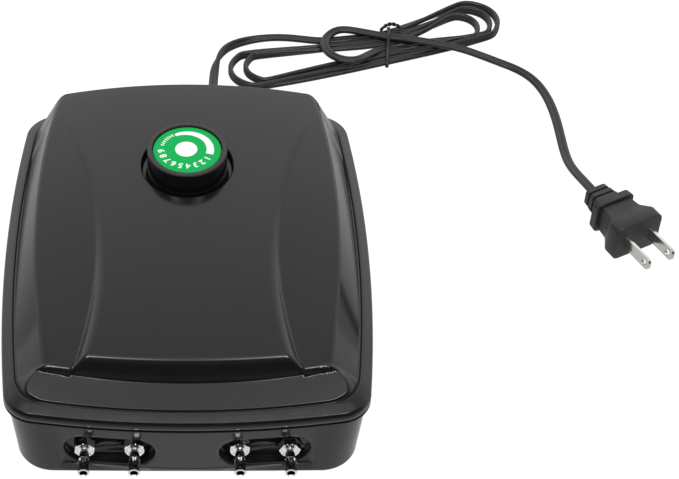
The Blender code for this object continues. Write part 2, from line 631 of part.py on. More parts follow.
def make_filter():
    centre = (0, FILTER_Y, 0)
    felt = [(0, 3.4), (18.8, 3.4), (18.8, 7.8), (0, 7.8)]
    place("filter_felt", turned(felt, centre, (0, 0, 1), 28), FELT, PUMP)
    cover = place("filter_cover", turned([(0, 0.6), (19.0, 0.6), (19.0, 3.0), (0, 3.0)],
                                         centre, (0, 0, 1), 32), SHELL, PUMP)
    for y in (-8, -4, 0, 4, 8):
        half = 12 if abs(y) < 8 else 9
        cut(cover, box((-half, FILTER_Y + y - 0.8, 0), (half, FILTER_Y + y + 0.8, 4)))


# ---- mains lead ----
def make_cord():
    relief = [
        (0, -6), (3.6, -6), (3.6, GAP), (6.2, GAP), (6.2, 2.4), (4.6, 3.2), (3.1, 23.6), (0, 23.6),
    ]
    place("strain_relief", turned(relief, (EXIT_X, BACK_WALL_Y, EXIT_Z), (0, 1, 0), 20), RUBBER, PUMP)
    tube("power_cord_lead", LEAD_ROUTE, CORD_D, CORD)
    tube("power_cord_tail", TAIL_ROUTE, CORD_D, CORD)

    outline = arc(HANK_RIGHT, HANK_RIGHT_R, -64, 118, 12) + [TIE_FAR]
    outline += arc(HANK_LEFT, HANK_LEFT_R, 106, 286, 12) + [TIE_NEAR]
    place("cord_hank", prism(outline, HANK_LOW, HANK_TOP), CORD)

    middle = (Vector(TIE_FAR) + Vector(TIE_NEAR)) / 2
    across = Vector(TIE_FAR) - Vector(TIE_NEAR)
    half_width = across.length / 2 + 3 * GAP
    wire = 1.3
    over = HANK_TOP + GAP
    outer = [
        (-half_width - wire, HANK_LOW), (-half_width - wire, HANK_TOP), (-half_width + 1, over + wire),
        (half_width - 1, over + wire), (half_width + wire, HANK_TOP), (half_width + wire, HANK_LOW),
    ]
    inner = [(half_width, HANK_LOW), (half_width, over), (-half_width, over), (-half_width, HANK_LOW)]
    tie = prism(outer + inner, -0.7, 0.7, axis="X")
    aim = math.atan2(across.y, across.x) - math.pi / 2
    turn = Matrix.Translation((middle.x, middle.y, 0)) @ Matrix.Rotation(aim, 4, "Z")
    bmesh.ops.transform(tie, matrix=turn, verts=tie.verts)
    place("cord_tie", tie, CORD)


def plug_section(along, half_width, half_height, corner):
    """A rounded rectangle across the plug's axis, as a ring of points."""
    ring = []
    reach_y, reach_z = half_width - corner, half_height - corner
    for turn, (side_y, side_z) in enumerate(((1, 1), (-1, 1), (-1, -1), (1, -1))):
        centre = (side_y * reach_y, side_z * reach_z)
        ring += [(along, y, z) for y, z in arc(centre, corner, 90 * turn, 90 * turn + 90, 2)]
    return ring


def make_plug():
    sections = [
        (0.0, 3.8, 2.9, 1.0), (2.2, 5.6, 4.6, 1.6), (10.5, 6.2, 5.2, 1.6), (10.5, 6.6, 5.6, 1.6),
        (11.2, 9.6, 7.8, 2.4), (15.2, 10.0, 8.2, 2.4), (15.9, 8.4, 7.0, 1.6), (21.0, 8.6, 7.4, 1.6),
        (26.4, 12.0, 9.1, 3.0), (32.6, 12.2, 9.3, 3.0),
    ]
    turn = Matrix.Translation((*PLUG_END, PLUG_HEIGHT)) @ Matrix.Rotation(PLUG_AIM, 4, "Z")
    body = loft([plug_section(*section) for section in sections])
    bmesh.ops.transform(body, matrix=turn, verts=body.verts)
    place("plug_body", body, CORD)
    for side, word in ((1, "left"), (-1, "right")):
        y = side * 6.35
        blade = prism([(32.9, -3.1), (47.6, -3.1), (49.4, -1.6), (49.4, 1.6), (47.6, 3.1), (32.9, 3.1)],
                      y - 0.75, y + 0.75, axis="Y", holes=(arc((46.0, 0), 1.5, 0, 330, 11),))
        bmesh.ops.transform(blade, matrix=turn, verts=blade.verts)
        place(f"plug_blade_{word}", blade, NICKEL)


clear_scene()
PARTS = new_collection("air_pump")
CUTTERS = new_collection("cutters")
CUTTERS.hide_render = True

SHELL = make_material("shell", BLACK, 0.32)
RUBBER = make_material("rubber", (0.02, 0.02, 0.02), 0.7)
CHROME = make_material("chrome", (0.8, 0.8, 0.8), 0.1, 1.0)
STEEL = make_material("steel", (0.55, 0.55, 0.56), 0.35, 1.0)
NICKEL = make_material("nickel", (0.75, 0.74, 0.72), 0.25, 1.0)
HOSE = make_material("hose", (0.06, 0.06, 0.06), 0.5)
LAMINATION = make_material("lamination", (0.2, 0.2, 0.21), 0.5, 1.0)
NYLON = make_material("nylon", (0.7, 0.7, 0.66), 0.5)
COPPER = make_material("copper", (0.6, 0.25, 0.1), 0.35, 1.0)
FERRITE = make_material("ferrite", (0.05, 0.05, 0.055), 0.5)
BOARD = make_material("board", (0.02, 0.16, 0.06), 0.4)
TERMINAL = make_material("terminal", (0.04, 0.2, 0.3), 0.5)
FELT = make_material("felt", (0.75, 0.75, 0.72), 0.95)
DIAL = make_material("dial", (0.0, 0.48, 0.11), 0.4)
CORD = make_material("cord", (0.015, 0.015, 0.015), 0.5)

PUMP = bpy.data.objects.new("pump", None)
PUMP.location = Vector((0, CASING_Y, FOOT_HEIGHT)) * MM
PARTS.objects.link(PUMP)

make_base()
make_cover()
make_gasket()
make_fasteners()
make_outlets()
make_hoses()
make_magnet()
for arm_side, arm_word in ((-1, "left"), (1, "right")):
    make_arm(arm_side, arm_word)
    make_bellows(arm_side, arm_word)
make_knob()
make_electronics()
make_filter()
make_cord()
make_plug()
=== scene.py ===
"""The looks of the four-outlet air pump: glossy shells, knob, outlets, flat lead and plug.

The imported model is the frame. Sizes here are in millimetres and MM turns them into
metres. Pieces of the pump are drawn in the casing's own frame, whose origin is the
middle of the casing's lower edge; the lead and the plug are drawn in the row frame.
"""
import json
import math

import bmesh
import bpy
import numpy as np
from mathutils import Matrix, Vector


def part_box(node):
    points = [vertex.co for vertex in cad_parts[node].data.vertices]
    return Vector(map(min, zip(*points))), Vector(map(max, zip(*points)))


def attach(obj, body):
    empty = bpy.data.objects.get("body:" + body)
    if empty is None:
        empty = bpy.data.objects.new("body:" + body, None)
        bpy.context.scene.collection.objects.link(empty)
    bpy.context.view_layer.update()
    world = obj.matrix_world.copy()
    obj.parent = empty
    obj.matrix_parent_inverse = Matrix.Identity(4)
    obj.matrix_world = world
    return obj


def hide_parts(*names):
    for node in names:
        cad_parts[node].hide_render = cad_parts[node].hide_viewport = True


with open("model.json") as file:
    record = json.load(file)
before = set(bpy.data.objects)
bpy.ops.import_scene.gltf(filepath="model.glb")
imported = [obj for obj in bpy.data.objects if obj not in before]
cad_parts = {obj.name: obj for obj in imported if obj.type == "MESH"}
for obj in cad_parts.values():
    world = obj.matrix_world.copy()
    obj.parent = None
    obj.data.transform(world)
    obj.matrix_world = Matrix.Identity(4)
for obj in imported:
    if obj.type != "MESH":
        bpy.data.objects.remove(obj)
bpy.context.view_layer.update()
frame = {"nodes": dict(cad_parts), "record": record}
MM = 0.001

WHITE = (1.0, 1.0, 1.0, 1.0)


# ---- driving sizes, as in the CAD ----
RIM = dict(half_x=76.0, half_y=92.6, sag_x=6.4, sag_y=7.6, corner=13.8)
WALL_TOP = dict(half_x=74.8, half_y=91.5, sag_x=6.4, sag_y=7.6, corner=16.7)
BOTTOM = dict(half_x=72.4, half_y=88.4, sag_x=6.4, sag_y=0.6, corner=15.1)
BOTTOM_TOP = 1.5
FOOT_LINE = dict(half_x=70.8, half_y=87.4, sag_x=6.4, sag_y=7.6, corner=15.0)
FOOT_LINE_Z = 36.5
# The crease low in the front wall rises towards the corners and fades out before them.
CREASE = dict(half_x=73.1, half_y=89.0, sag_x=2.6, sag_y=5.6, corner=15.8)
CREASE_Z, CREASE_DROP, CREASE_REACH = 5.1, 2.5, 54
LEDGE_OUT, LEDGE_DROP = 0.45, 0.3
WALL = 2.4
LIP_FOOT, LIP_TOP, COVER_LOW = 27.9, 29.6, 30.6
# The cover's flange from the foot line outwards: distance out and height from the foot line.
FLANGE = [(-0.1, -0.9), (0.3, -0.95), (0.6, -0.5), (0.8, -0.34), (1.0, -0.36), (2.2, -1.06), (3.4, -1.76),
          (4.25, -2.26), (4.3, -2.29), (4.42, -2.42), (4.6, -2.68), (4.8, -3.0), (4.97, -3.36), (5.1, -3.8),
          (5.17, -4.3), (5.2, -4.9)]
# The dome: its highest line, the raised panel's step, slopes (rise over run) and corner rounds.
CREST_Y, CREST_Z, PANEL_STEP = 50, 62, 4
APRON_SLOPE, RISER_SLOPE = 0.53, 2.4
FRONT_CORNER, BACK_CORNER = 8, 30
KNOB_Y = 25.4
SHAFT_HOLE_R = 3.9
WELL_R, WELL_FLOOR, WELL_ROOF, WELL_ROUND = 19.1, 57.4, 55.4, 0.5
DIAL_TOP, DIAL_SHIFT, PRINT_THICK = 69.3, (-0.4, 0.3), 0.04

OUTLET_X, OUTLET_Z = (-40.2, -20.6, 20.6, 40.2), 13.2
OUTLET_TURN = (22.0, 38.0, 26.0, 3.0)
OUTLET_HOLE_R = 3.4
HEX_ACROSS_FLATS, HEX_FRONT = 7.6, -88.2
POCKET_X, POCKET_Z, POCKET_HALF, POCKET_R = 30.4, 13.9, 18.0, 8.6
POCKET_FLOOR, POCKET_BACK = -84.1, 2.2
POCKET_BOSS_X, POCKET_BOSS_Z, POCKET_BOSS_FRONT = 20.4, 10.8, -87.0
SCREW_X, SCREW_Y = 56.0, 73.0
SCREW_BOSS_R, SCREW_BOSS_TOP, SCREW_HEAD_HOLE_R, SCREW_HOLE_R = 4.8, 28.5, 3.6, 1.9
CORE_SCREW_Y = (-32.0, -6.0)
CORE_BOSS_R, CORE_BOSS_TOP = 4.4, 7.7
FOOT_X, FOOT_Y, FOOT_HOLE_R = 54.0, 55.0, 2.9
FILTER_Y, FILTER_BOSS_R, FILTER_BOSS_TOP, FILTER_BORE_R, FILTER_ROOF = 58.0, 21.6, 10.6, 19.4, 8.4
INTAKE_HOLES, INTAKE_RING_R, INTAKE_HOLE_R = 6, 10, 2.2
EXIT_X, EXIT_Z, EXIT_HOLE_R, BACK_WALL_Y = 11.5, 12.0, 4.3, 90.2

CORD_WIDTH, CORD_THICK = 4.5, 2.4
PLUG_END, PLUG_HEIGHT = (184.3, 69.9), 9.3
PLUG_AIM = math.atan2(-0.888, 0.46)
BLADE_THICK, BLADE_REACH = 1.5, 6.35


def casing_origin():
    low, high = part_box("base_shell")
    return Vector(((low[0] + high[0]) / 2, (low[1] + high[1]) / 2, low[2]))


CASING = casing_origin()


# ---- camera, floor and light ----
def make_camera():
    data = bpy.data.cameras.new("camera")
    data.sensor_width = 36.0
    data.lens = 97.87
    data.shift_x = 0.2243
    camera = bpy.data.objects.new("camera", data)
    camera.location = (0.0, -0.5393, 0.5837)
    camera.rotation_euler = (math.radians(45.22), 0.0, 0.0)
    bpy.context.scene.collection.objects.link(camera)
    bpy.context.scene.camera = camera


def area_light(name, location, aim, size, glow):
    """A soft rectangular light; glow is the radiance of its face."""
    data = bpy.data.lights.new(name, "AREA")
    data.shape = "RECTANGLE"
    data.size, data.size_y = size
    data.energy = glow * math.pi * size[0] * size[1]
    light = bpy.data.objects.new(name, data)
    light.location = location
    light.visible_camera = False
    direction = Vector(aim) - Vector(location)
    light.rotation_euler = direction.to_track_quat("-Z", "Y").to_euler()
    bpy.context.scene.collection.objects.link(light)


def sheet(name, size, location, tilt, grey):
    """A matt rectangle for the studio, tilted about X, and its shader."""
    bm = bmesh.new()
    bmesh.ops.create_grid(bm, x_segments=1, y_segments=1, size=0.5)
    bmesh.ops.scale(bm, verts=bm.verts, vec=(size[0], size[1], 1.0))
    mesh = bpy.data.meshes.new(name)
    bm.to_mesh(mesh)
    bm.free()
    plane = bpy.data.objects.new(name, mesh)
    plane.location = location
    plane.rotation_euler = (math.radians(tilt), 0.0, 0.0)
    bpy.context.scene.collection.objects.link(plane)
    material = bpy.data.materials.new(name)
    material.use_nodes = True
    shader = material.node_tree.nodes["Principled BSDF"]
    shader.inputs["Base Color"].default_value = (grey, grey, grey, 1.0)
    shader.inputs["Roughness"].default_value = 1.0
    shader.inputs["Specular IOR Level"].default_value = 0.0
    mesh.materials.append(material)
    return plane, shader


def by_depth(tree, ramps, target):
    """Drive a value by the Y coordinate: a product of ramps between two (y, value) pairs."""
    place = tree.nodes.new("ShaderNodeTexCoord")
    split = tree.nodes.new("ShaderNodeSeparateXYZ")
    source = "Generated" if tree.nodes.get("Background") else "Object"
    tree.links.new(place.outputs[source], split.inputs["Vector"])
    value = None
    for near, far in ramps:
        ramp = tree.nodes.new("ShaderNodeMapRange")
        ramp.inputs["From Min"].default_value = near[0]
        ramp.inputs["From Max"].default_value = far[0]
        ramp.inputs["To Min"].default_value = near[1]
        ramp.inputs["To Max"].default_value = far[1]
        tree.links.new(split.outputs["Y"], ramp.inputs["Value"])
        factor = tree.nodes.new("ShaderNodeMath")
        factor.operation = "MULTIPLY"
        factor.inputs[0].default_value = 1.0
        if value is not None:
            tree.links.new(value, factor.inputs[0])
        tree.links.new(ramp.outputs["Result"], factor.inputs[1])
        value = factor.outputs["Value"]
    tree.links.new(value, target)


def make_studio():
    bpy.context.scene.view_settings.view_transform = "Standard"
    world = bpy.data.worlds.new("studio")
    world.use_nodes = True
    background = world.node_tree.nodes["Background"]
    background.inputs["Color"].default_value = WHITE
    sky_glow = [((-0.15, 0.1), (0.7, 1.27)), ((0.78, 1.0), (0.97, 0.7))]
    by_depth(world.node_tree, sky_glow, background.inputs["Strength"])
    bpy.context.scene.world = world

    # The camera sees an even floor. Reflections see a glowing sheet instead, with a painted shadow: its glow
    # is lower under and behind the pump, and lower again far out in front.
    floor, shader = sheet("studio_floor", (6.0, 6.0), (0.0, 0.0, 0.0), 0.0, 0.12)
    floor.visible_glossy = False
    shader.inputs["Emission Color"].default_value = WHITE
    shader.inputs["Emission Strength"].default_value = 0.98
    bounce, shader = sheet("bounce_sheet", (6.0, 6.0), (0.0, 0.0, -0.002), 0.0, 0.0)
    bounce.visible_camera = False
    bounce.visible_diffuse = False
    bounce.visible_shadow = False
    shader.inputs["Emission Color"].default_value = WHITE
    # Painted shadow of the pump in the reflected floor: the glow falls from 0.8 to 0.58 from the pump's front
    # to its middle.
    bounce_glow_painted_shadow = [((-0.09, 0.8), (0.02, 0.58)), ((-0.17, 0.4), (-0.122, 1.0))]
    by_depth(shader.id_data, bounce_glow_painted_shadow, shader.inputs["Emission Strength"])
    card, shader = sheet("black_card", (1.6, 0.32), (0.0, -0.62, 0.16), 90.0, 0.002)
    card.visible_camera = False
    card.visible_diffuse = False

    pump = (0.0, 0.0, 0.06)
    area_light("front_panel", (0.0, -0.22, 1.3), pump, (1.7, 0.62), 1.0)
    area_light("front_strip", (0.0, -0.66, 1.1), pump, (1.2, 0.3), 2.0)
    for side, word in ((-1, "left"), (1, "right")):
        area_light(f"near_strip_{word}", (side * 0.21, -0.62, 1.08), pump, (0.2, 0.2), 3.4)
        area_light(f"far_strip_{word}", (side * 0.48, -0.58, 1.04), pump, (0.34, 0.28), 12.0)
    area_light("left_box", (-1.1, 0.1, 0.45), (0.0, 0.0, 0.05), (0.9, 1.2), 0.25)
    area_light("right_box", (1.2, 0.1, 0.45), (0.05, 0.0, 0.05), (0.9, 1.2), 0.3)



# ---- materials ----
def new_material(name):
    material = bpy.data.materials.new(name)
    material.use_nodes = True
    return material, material.node_tree, material.node_tree.nodes["Principled BSDF"]


def add_noise(tree, scale, detail=3.0):
    place = tree.nodes.new("ShaderNodeTexCoord")
    noise = tree.nodes.new("ShaderNodeTexNoise")
    noise.inputs["Scale"].default_value = scale
    noise.inputs["Detail"].default_value = detail
    tree.links.new(place.outputs["Object"], noise.inputs["Vector"])
    return noise.outputs["Fac"]


def vary(tree, value, low, high, target):
    """Drive a socket between two values by a 0 to 1 value."""
    spread = tree.nodes.new("ShaderNodeMapRange")
    spread.inputs["From Min"].default_value = 0.3
    spread.inputs["From Max"].default_value = 0.7
    spread.inputs["To Min"].default_value = low
    spread.inputs["To Max"].default_value = high
    tree.links.new(value, spread.inputs["Value"])
    tree.links.new(spread.outputs["Result"], target)


def vary_color(tree, value, first, second, target):
    """Drive a colour socket between two colours by a 0 to 1 value."""
    ramp = tree.nodes.new("ShaderNodeValToRGB")
    ramp.color_ramp.elements[0].position = 0.3
    ramp.color_ramp.elements[1].position = 0.7
    ramp.color_ramp.elements[0].color = (*first, 1.0)
    ramp.color_ramp.elements[1].color = (*second, 1.0)
    tree.links.new(value, ramp.inputs["Fac"])
    tree.links.new(ramp.outputs["Color"], target)


def add_bump(tree, shader, height, strength, distance):
    bump = tree.nodes.new("ShaderNodeBump")
    bump.inputs["Strength"].default_value = strength
    bump.inputs["Distance"].default_value = distance
    tree.links.new(height, bump.inputs["Height"])
    tree.links.new(bump.outputs["Normal"], shader.inputs["Normal"])


def mottled(tree, scale, color, mottle, target):
    """Drive a colour socket a little to both sides of one colour."""
    dark = tuple(channel * (1 - mottle) for channel in color)
    light = tuple(min(channel * (1 + mottle), 1.0) for channel in color)
    vary_color(tree, add_noise(tree, scale, 4.0), dark, light, target)


def moulded(name, color, roughness, grain=1800.0, bump=0.05, mottle=0.08, specular=0.5):
    """Moulded plastic or rubber: a fine grain, with slight drifts of colour and gloss."""
    material, tree, shader = new_material(name)
    shader.inputs["Specular IOR Level"].default_value = specular
    mottled(tree, 35.0, color, mottle, shader.inputs["Base Color"])
    vary(tree, add_noise(tree, 140.0, 5.0), roughness * 0.88, roughness * 1.12, shader.inputs["Roughness"])
    add_bump(tree, shader, add_noise(tree, grain, 2.0), bump, 0.0001)
    return material


def metal(name, color, roughness, bump=0.02):
    """Plated or bare metal, with slight drifts of colour and gloss."""
    material, tree, shader = new_material(name)
    shader.inputs["Metallic"].default_value = 1.0
    mottled(tree, 60.0, color, 0.04, shader.inputs["Base Color"])
    vary(tree, add_noise(tree, 300.0, 5.0), roughness * 0.8, roughness * 1.3, shader.inputs["Roughness"])
    add_bump(tree, shader, add_noise(tree, 900.0, 2.0), bump, 0.0001)
    return material


SHELL = moulded("shell", (0.008, 0.008, 0.0082), 0.16, grain=2600.0, bump=0.015, mottle=0.05,
                specular=0.46)
KNOB_SIDE = moulded("knob_side", (0.006, 0.006, 0.006), 0.16, bump=0.01)
KNOB_RIM = moulded("knob_rim", (0.026, 0.024, 0.022), 0.5, bump=0.08)
DIAL = moulded("dial", (0.001, 0.4, 0.085), 0.45, grain=1200.0, bump=0.02, mottle=0.02,
               specular=0.12)
PRINT = moulded("dial_print", (0.88, 0.9, 0.88), 0.4, bump=0.01, mottle=0.01)
RUBBER = moulded("rubber", (0.012, 0.012, 0.012), 0.65, grain=900.0, bump=0.2)
CORD = moulded("cord", (0.011, 0.011, 0.011), 0.36, grain=1500.0, bump=0.08)
PLUG = moulded("plug", (0.011, 0.011, 0.011), 0.42, grain=1500.0, bump=0.12)
CHROME = metal("chrome", (0.86, 0.86, 0.87), 0.08)
NICKEL = metal("nickel", (0.78, 0.76, 0.72), 0.2, bump=0.06)
STEEL = metal("steel", (0.55, 0.55, 0.56), 0.3, bump=0.1)
TIE = moulded("tie", (0.009, 0.009, 0.009), 0.4, bump=0.1)


# ---- meshes ----
def add_mesh(name, vertices, faces, material, smooth=35.0, casing=True):
    """A piece from millimetre vertices, drawn in the casing's frame or in the row frame."""
    points = np.asarray(vertices, float) * MM
    if casing:
        points = points + np.array(CASING)
    mesh = bpy.data.meshes.new(name)
    mesh.from_pydata(points.tolist(), [], faces)
    mesh.validate()
    mesh.shade_smooth()
    mesh.set_sharp_from_angle(angle=math.radians(smooth))
    mesh.materials.append(material)
    piece = bpy.data.objects.new(name, mesh)
    bpy.context.scene.collection.objects.link(piece)
    return piece


def ring_faces(rings, points, closed=True, caps=False):
    """Quads between consecutive rings of equally many points."""
    faces = []
    last = points if closed else points - 1
    for r in range(rings - 1):
        for i in range(last):
            j = (i + 1) % points
            faces.append((r * points + i, r * points + j, (r + 1) * points + j, (r + 1) * points + i))
    if caps:
        faces.append(tuple(reversed(range(points))))
        faces.append(tuple(range((rings - 1) * points, rings * points)))
    return faces


def turned(name, profile, origin, axis, material, segments=96, smooth=30.0, casing=True):
    """A turned piece; the profile is a list of (radius, along) and both ends lie on the axis."""
    axis = Vector(axis).normalized()
    side = axis.orthogonal().normalized()
    other = axis.cross(side)
    rings = []
    for radius, along in profile:
        for i in range(segments):
            angle = math.tau * i / segments
            around = side * math.cos(angle) + other * math.sin(angle)
            rings.append(Vector(origin) + axis * along + around * max(radius, 1e-4))
    faces = ring_faces(len(profile), segments)
    return add_mesh(name, rings, faces, material, smooth, casing)


def fillet(profile, radius, steps=4):
    """Round every inner corner of a profile by the radius, or less where its sides are short."""
    rounded = [profile[0]]
    for before, corner, after in zip(profile, profile[1:], profile[2:]):
        p, c, q = (Vector(point) for point in (before, corner, after))
        back, ahead = p - c, q - c
        reach = min(radius, back.length * 0.45, ahead.length * 0.45)
        start, end = c + back.normalized() * reach, c + ahead.normalized() * reach
        for i in range(steps + 1):
            t = i / steps
            point = start * (1 - t) ** 2 + c * 2 * t * (1 - t) + end * t * t
            rounded.append((point.x, point.y))
    return rounded + [profile[-1]]


# ---- the flat lead ----
def spline(points, step):
    """Points at even steps along a smoothed Catmull-Rom curve through rows of numbers."""
    given = np.asarray(points, float)
    padded = np.vstack([2 * given[0] - given[1], given, 2 * given[-1] - given[-2]])
    dense = []
    for a, b, c, d in zip(padded, padded[1:], padded[2:], padded[3:]):
        for t in np.linspace(0, 1, 24, endpoint=False):
            dense.append(0.5 * (2 * b + (c - a) * t + (2 * a - 5 * b + 4 * c - d) * t * t
                                + (3 * b - a - 3 * c + d) * t ** 3))
    dense = np.array(dense + [given[-1]])
    dense = even(dense, step)
    for _ in range(12):
        dense[1:-1] = 0.25 * dense[:-2] + 0.5 * dense[1:-1] + 0.25 * dense[2:]
    return even(dense, step)


def even(rows, step):
    lengths = np.linalg.norm(np.diff(rows[:, :3], axis=0), axis=1)
    along = np.concatenate([[0], np.cumsum(lengths)])
    at = np.linspace(0, along[-1], round(along[-1] / step) + 1)
    return np.stack([np.interp(at, along, rows[:, k]) for k in range(rows.shape[1])], axis=1)


# Rows are x, y, z and roll: the flat lead lies flat at 0 and 180 degrees, and stands on edge at 90.
LEAD = [
    (11.5, 115.0, 15.0, 0), (11.5, 122.0, 14.6, 0), (11.7, 132.0, 10.0, 0), (12.1, 142.5, 4.0, 0),
    (12.5, 151.0, 1.6, 0), (12.9, 158.5, 1.3, 0), (13.5, 166.0, 1.4, 15), (15.0, 173.5, 2.2, 75),
    (18.6, 181.0, 2.4, 110), (24.4, 186.3, 1.9, 140), (31.6, 189.8, 1.4, 165), (40.0, 191.7, 1.3, 180),
    (49.2, 191.9, 1.3, 180), (58.0, 190.6, 1.3, 180), (68.0, 189.2, 1.3, 180), (84.0, 191.3, 1.3, 180),
]
TAIL = [
    (113.9, 184.0, 6.0, 180), (124.0, 181.0, 6.2, 180), (135.8, 178.0, 5.4, 180), (146.0, 174.9, 3.4, 180),
    (154.6, 171.9, 1.6, 180), (162.6, 167.0, 1.3, 180), (169.4, 159.6, 1.3, 180), (173.7, 149.6, 1.3, 180),
    (175.9, 138.8, 1.3, 180), (176.9, 127.8, 1.3, 180), (177.2, 117.0, 1.3, 180), (177.4, 106.0, 1.5, 180),
    (178.0, 97.0, 2.6, 180), (179.3, 88.6, 4.8, 180), (181.4, 79.4, 7.6, 180), (184.1, 70.8, 9.3, 180),
    (185.6, 67.4, 9.3, 180),
]
TIE_FAR, TIE_NEAR = (101.7, 197.0), (99.0, 171.0)
# Folds in the order of the lead: centre x and y, radius, height and roll, then the share across
# the tie, height and roll of the pass that leads to the next fold.
FOLDS = [
    ("right", (143.6, 203.4), 14.0, 2.35, 270, 0.92, 1.35, 180),
    ("left", (33.6, 165.2), 12.6, 2.35, 270, 0.19, 1.35, 180),
    ("right", (142.4, 201.8), 11.2, 2.35, 270, 0.70, 1.35, 180),
    ("left", (38.4, 166.8), 10.0, 2.4, 270, 0.35, 1.35, 180),
    ("right", (137.6, 198.0), 9.4, 2.5, 270, 0.53, 1.45, 180),
    ("left", (80.4, 180.6), 12.4, 5.9, 180, 0.30, 4.0, 180),
]


def hank_rows():
    """Control rows of the hank: an arc of points at each fold, and one at the tie between folds."""
    rows = []
    for end, centre, radius, height, roll, share, tie_height, tie_roll in FOLDS:
        first, last = (112, -62) if end == "right" else (-70, -262)
        for i in range(8):
            angle = math.radians(first + (last - first) * i / 7)
            rows.append((centre[0] + radius * math.cos(angle), centre[1] + radius * math.sin(angle),
                         height, roll))
        x = TIE_FAR[0] + (TIE_NEAR[0] - TIE_FAR[0]) * share
        y = TIE_FAR[1] + (TIE_NEAR[1] - TIE_FAR[1]) * share
        rows.append((x, y, tie_height, tie_roll))
    return rows


def lead_rows():
    waist = (TIE_FAR[0] - 0.2, TIE_FAR[1] - 1.8, 1.35, 180)
    return LEAD + [waist] + hank_rows() + TAIL


def figure_eight():
    """The lead's section: two round cores side by side with a groove between them."""
    core = CORD_THICK / 2
    reach = CORD_WIDTH / 2 - core
    right = []
    for i in range(13):
        angle = math.radians(-128 + 256 * i / 12)
        right.append((reach + core * math.cos(angle), core * math.sin(angle)))
    left = [(-x, -y) for x, y in right]
    groove = core * 0.6
    return right + [(0.0, groove)] + left + [(0.0, -groove)]


def sweep(name, rows, section, material):
    """A flat cord along rows of x, y, z and roll."""
    line, roll = rows[:, :3], np.radians(rows[:, 3])
    tangent = np.gradient(line, axis=0)
    tangent /= np.linalg.norm(tangent, axis=1)[:, None]
    side = np.cross(tangent, (0, 0, 1))
    side /= np.linalg.norm(side, axis=1)[:, None]
    up = np.cross(side, tangent)
    wide = side * np.cos(roll)[:, None] + up * np.sin(roll)[:, None]
    thick = np.cross(tangent, wide)
    points = []
    for u, v in section:
        points.append(line + wide * u + thick * v)
    vertices = np.stack(points, axis=1).reshape(-1, 3)
    faces = ring_faces(len(line), len(section), caps=True)
    return add_mesh(name, vertices, faces, material, smooth=60, casing=False)


def make_lead():
    rows = spline(lead_rows(), 1.2)
    lead = sweep("mains_lead", rows, figure_eight(), CORD)
    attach(lead, "housing")
    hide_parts("power_cord_lead", "cord_hank", "power_cord_tail")


# ---- plan outlines and the dome, as in the CAD but finely divided ----
def corner_of(shape, inset):
    """Half sizes, sags, the corner circle and the two angles where it meets the bowed sides."""
    half_x, half_y = shape["half_x"] - inset, shape["half_y"] - inset
    sag_x, sag_y = shape["sag_x"], shape["sag_y"]
    radius = max(shape["corner"] - inset, 1.0)
    centre_x, centre_y = half_x - sag_x - radius, half_y - sag_y - radius
    for _ in range(12):
        lean_x = math.atan(2 * sag_x * centre_y / half_y ** 2)
        tangent_y = centre_y + radius * math.sin(lean_x)
        centre_x = half_x - sag_x * (tangent_y / half_y) ** 2 - radius * math.cos(lean_x)
        lean_y = math.atan(2 * sag_y * centre_x / half_x ** 2)
        tangent_x = centre_x + radius * math.sin(lean_y)
        centre_y = half_y - sag_y * (tangent_x / half_x) ** 2 - radius * math.cos(lean_y)
    return half_x, half_y, radius, (centre_x, centre_y), (tangent_x, tangent_y), (lean_x, lean_y)


def outline(shape, inset=0.0, side=60, corner=24, front=60):
    """The closed plan outline, anticlockwise from the middle of the +X side, as rows of x and y."""
    half_x, half_y, radius, centre, tangent, lean = corner_of(shape, inset)
    quarter = []
    for i in range(side):
        y = tangent[1] * i / side
        quarter.append((half_x - shape["sag_x"] * (y / half_y) ** 2, y))
    for i in range(corner):
        angle = lean[0] + (math.pi / 2 - lean[1] - lean[0]) * i / corner
        quarter.append((centre[0] + radius * math.cos(angle), centre[1] + radius * math.sin(angle)))
    for i in range(front + 1):
        x = tangent[0] * (1 - i / front)
        quarter.append((x, half_y - shape["sag_y"] * (x / half_x) ** 2))
    half = quarter + [(-x, y) for x, y in reversed(quarter[:-1])]
    return np.array(half + [(x, -y) for x, y in reversed(half[1:-1])])


def smooth_step(low, high, value):
    t = np.clip((value - low) / (high - low), 0.0, 1.0)
    return t * t * (3 - 2 * t)


def smooth_min(a, b, blend):
    overlap = np.maximum(blend - np.abs(a - b), 0.0) / blend
    return np.minimum(a, b) - overlap * overlap * blend / 4


def smooth_max(a, b, blend):
    return -smooth_min(-a, -b, blend)


def rounded_corner(a, b, radius):
    """The lower of two heights, with a round of the given height where they meet."""
    over_a, over_b = radius - a, radius - b
    inside = np.minimum(np.maximum(over_a, over_b), 0.0)
    return radius - np.hypot(np.maximum(over_a, 0.0), np.maximum(over_b, 0.0)) - inside


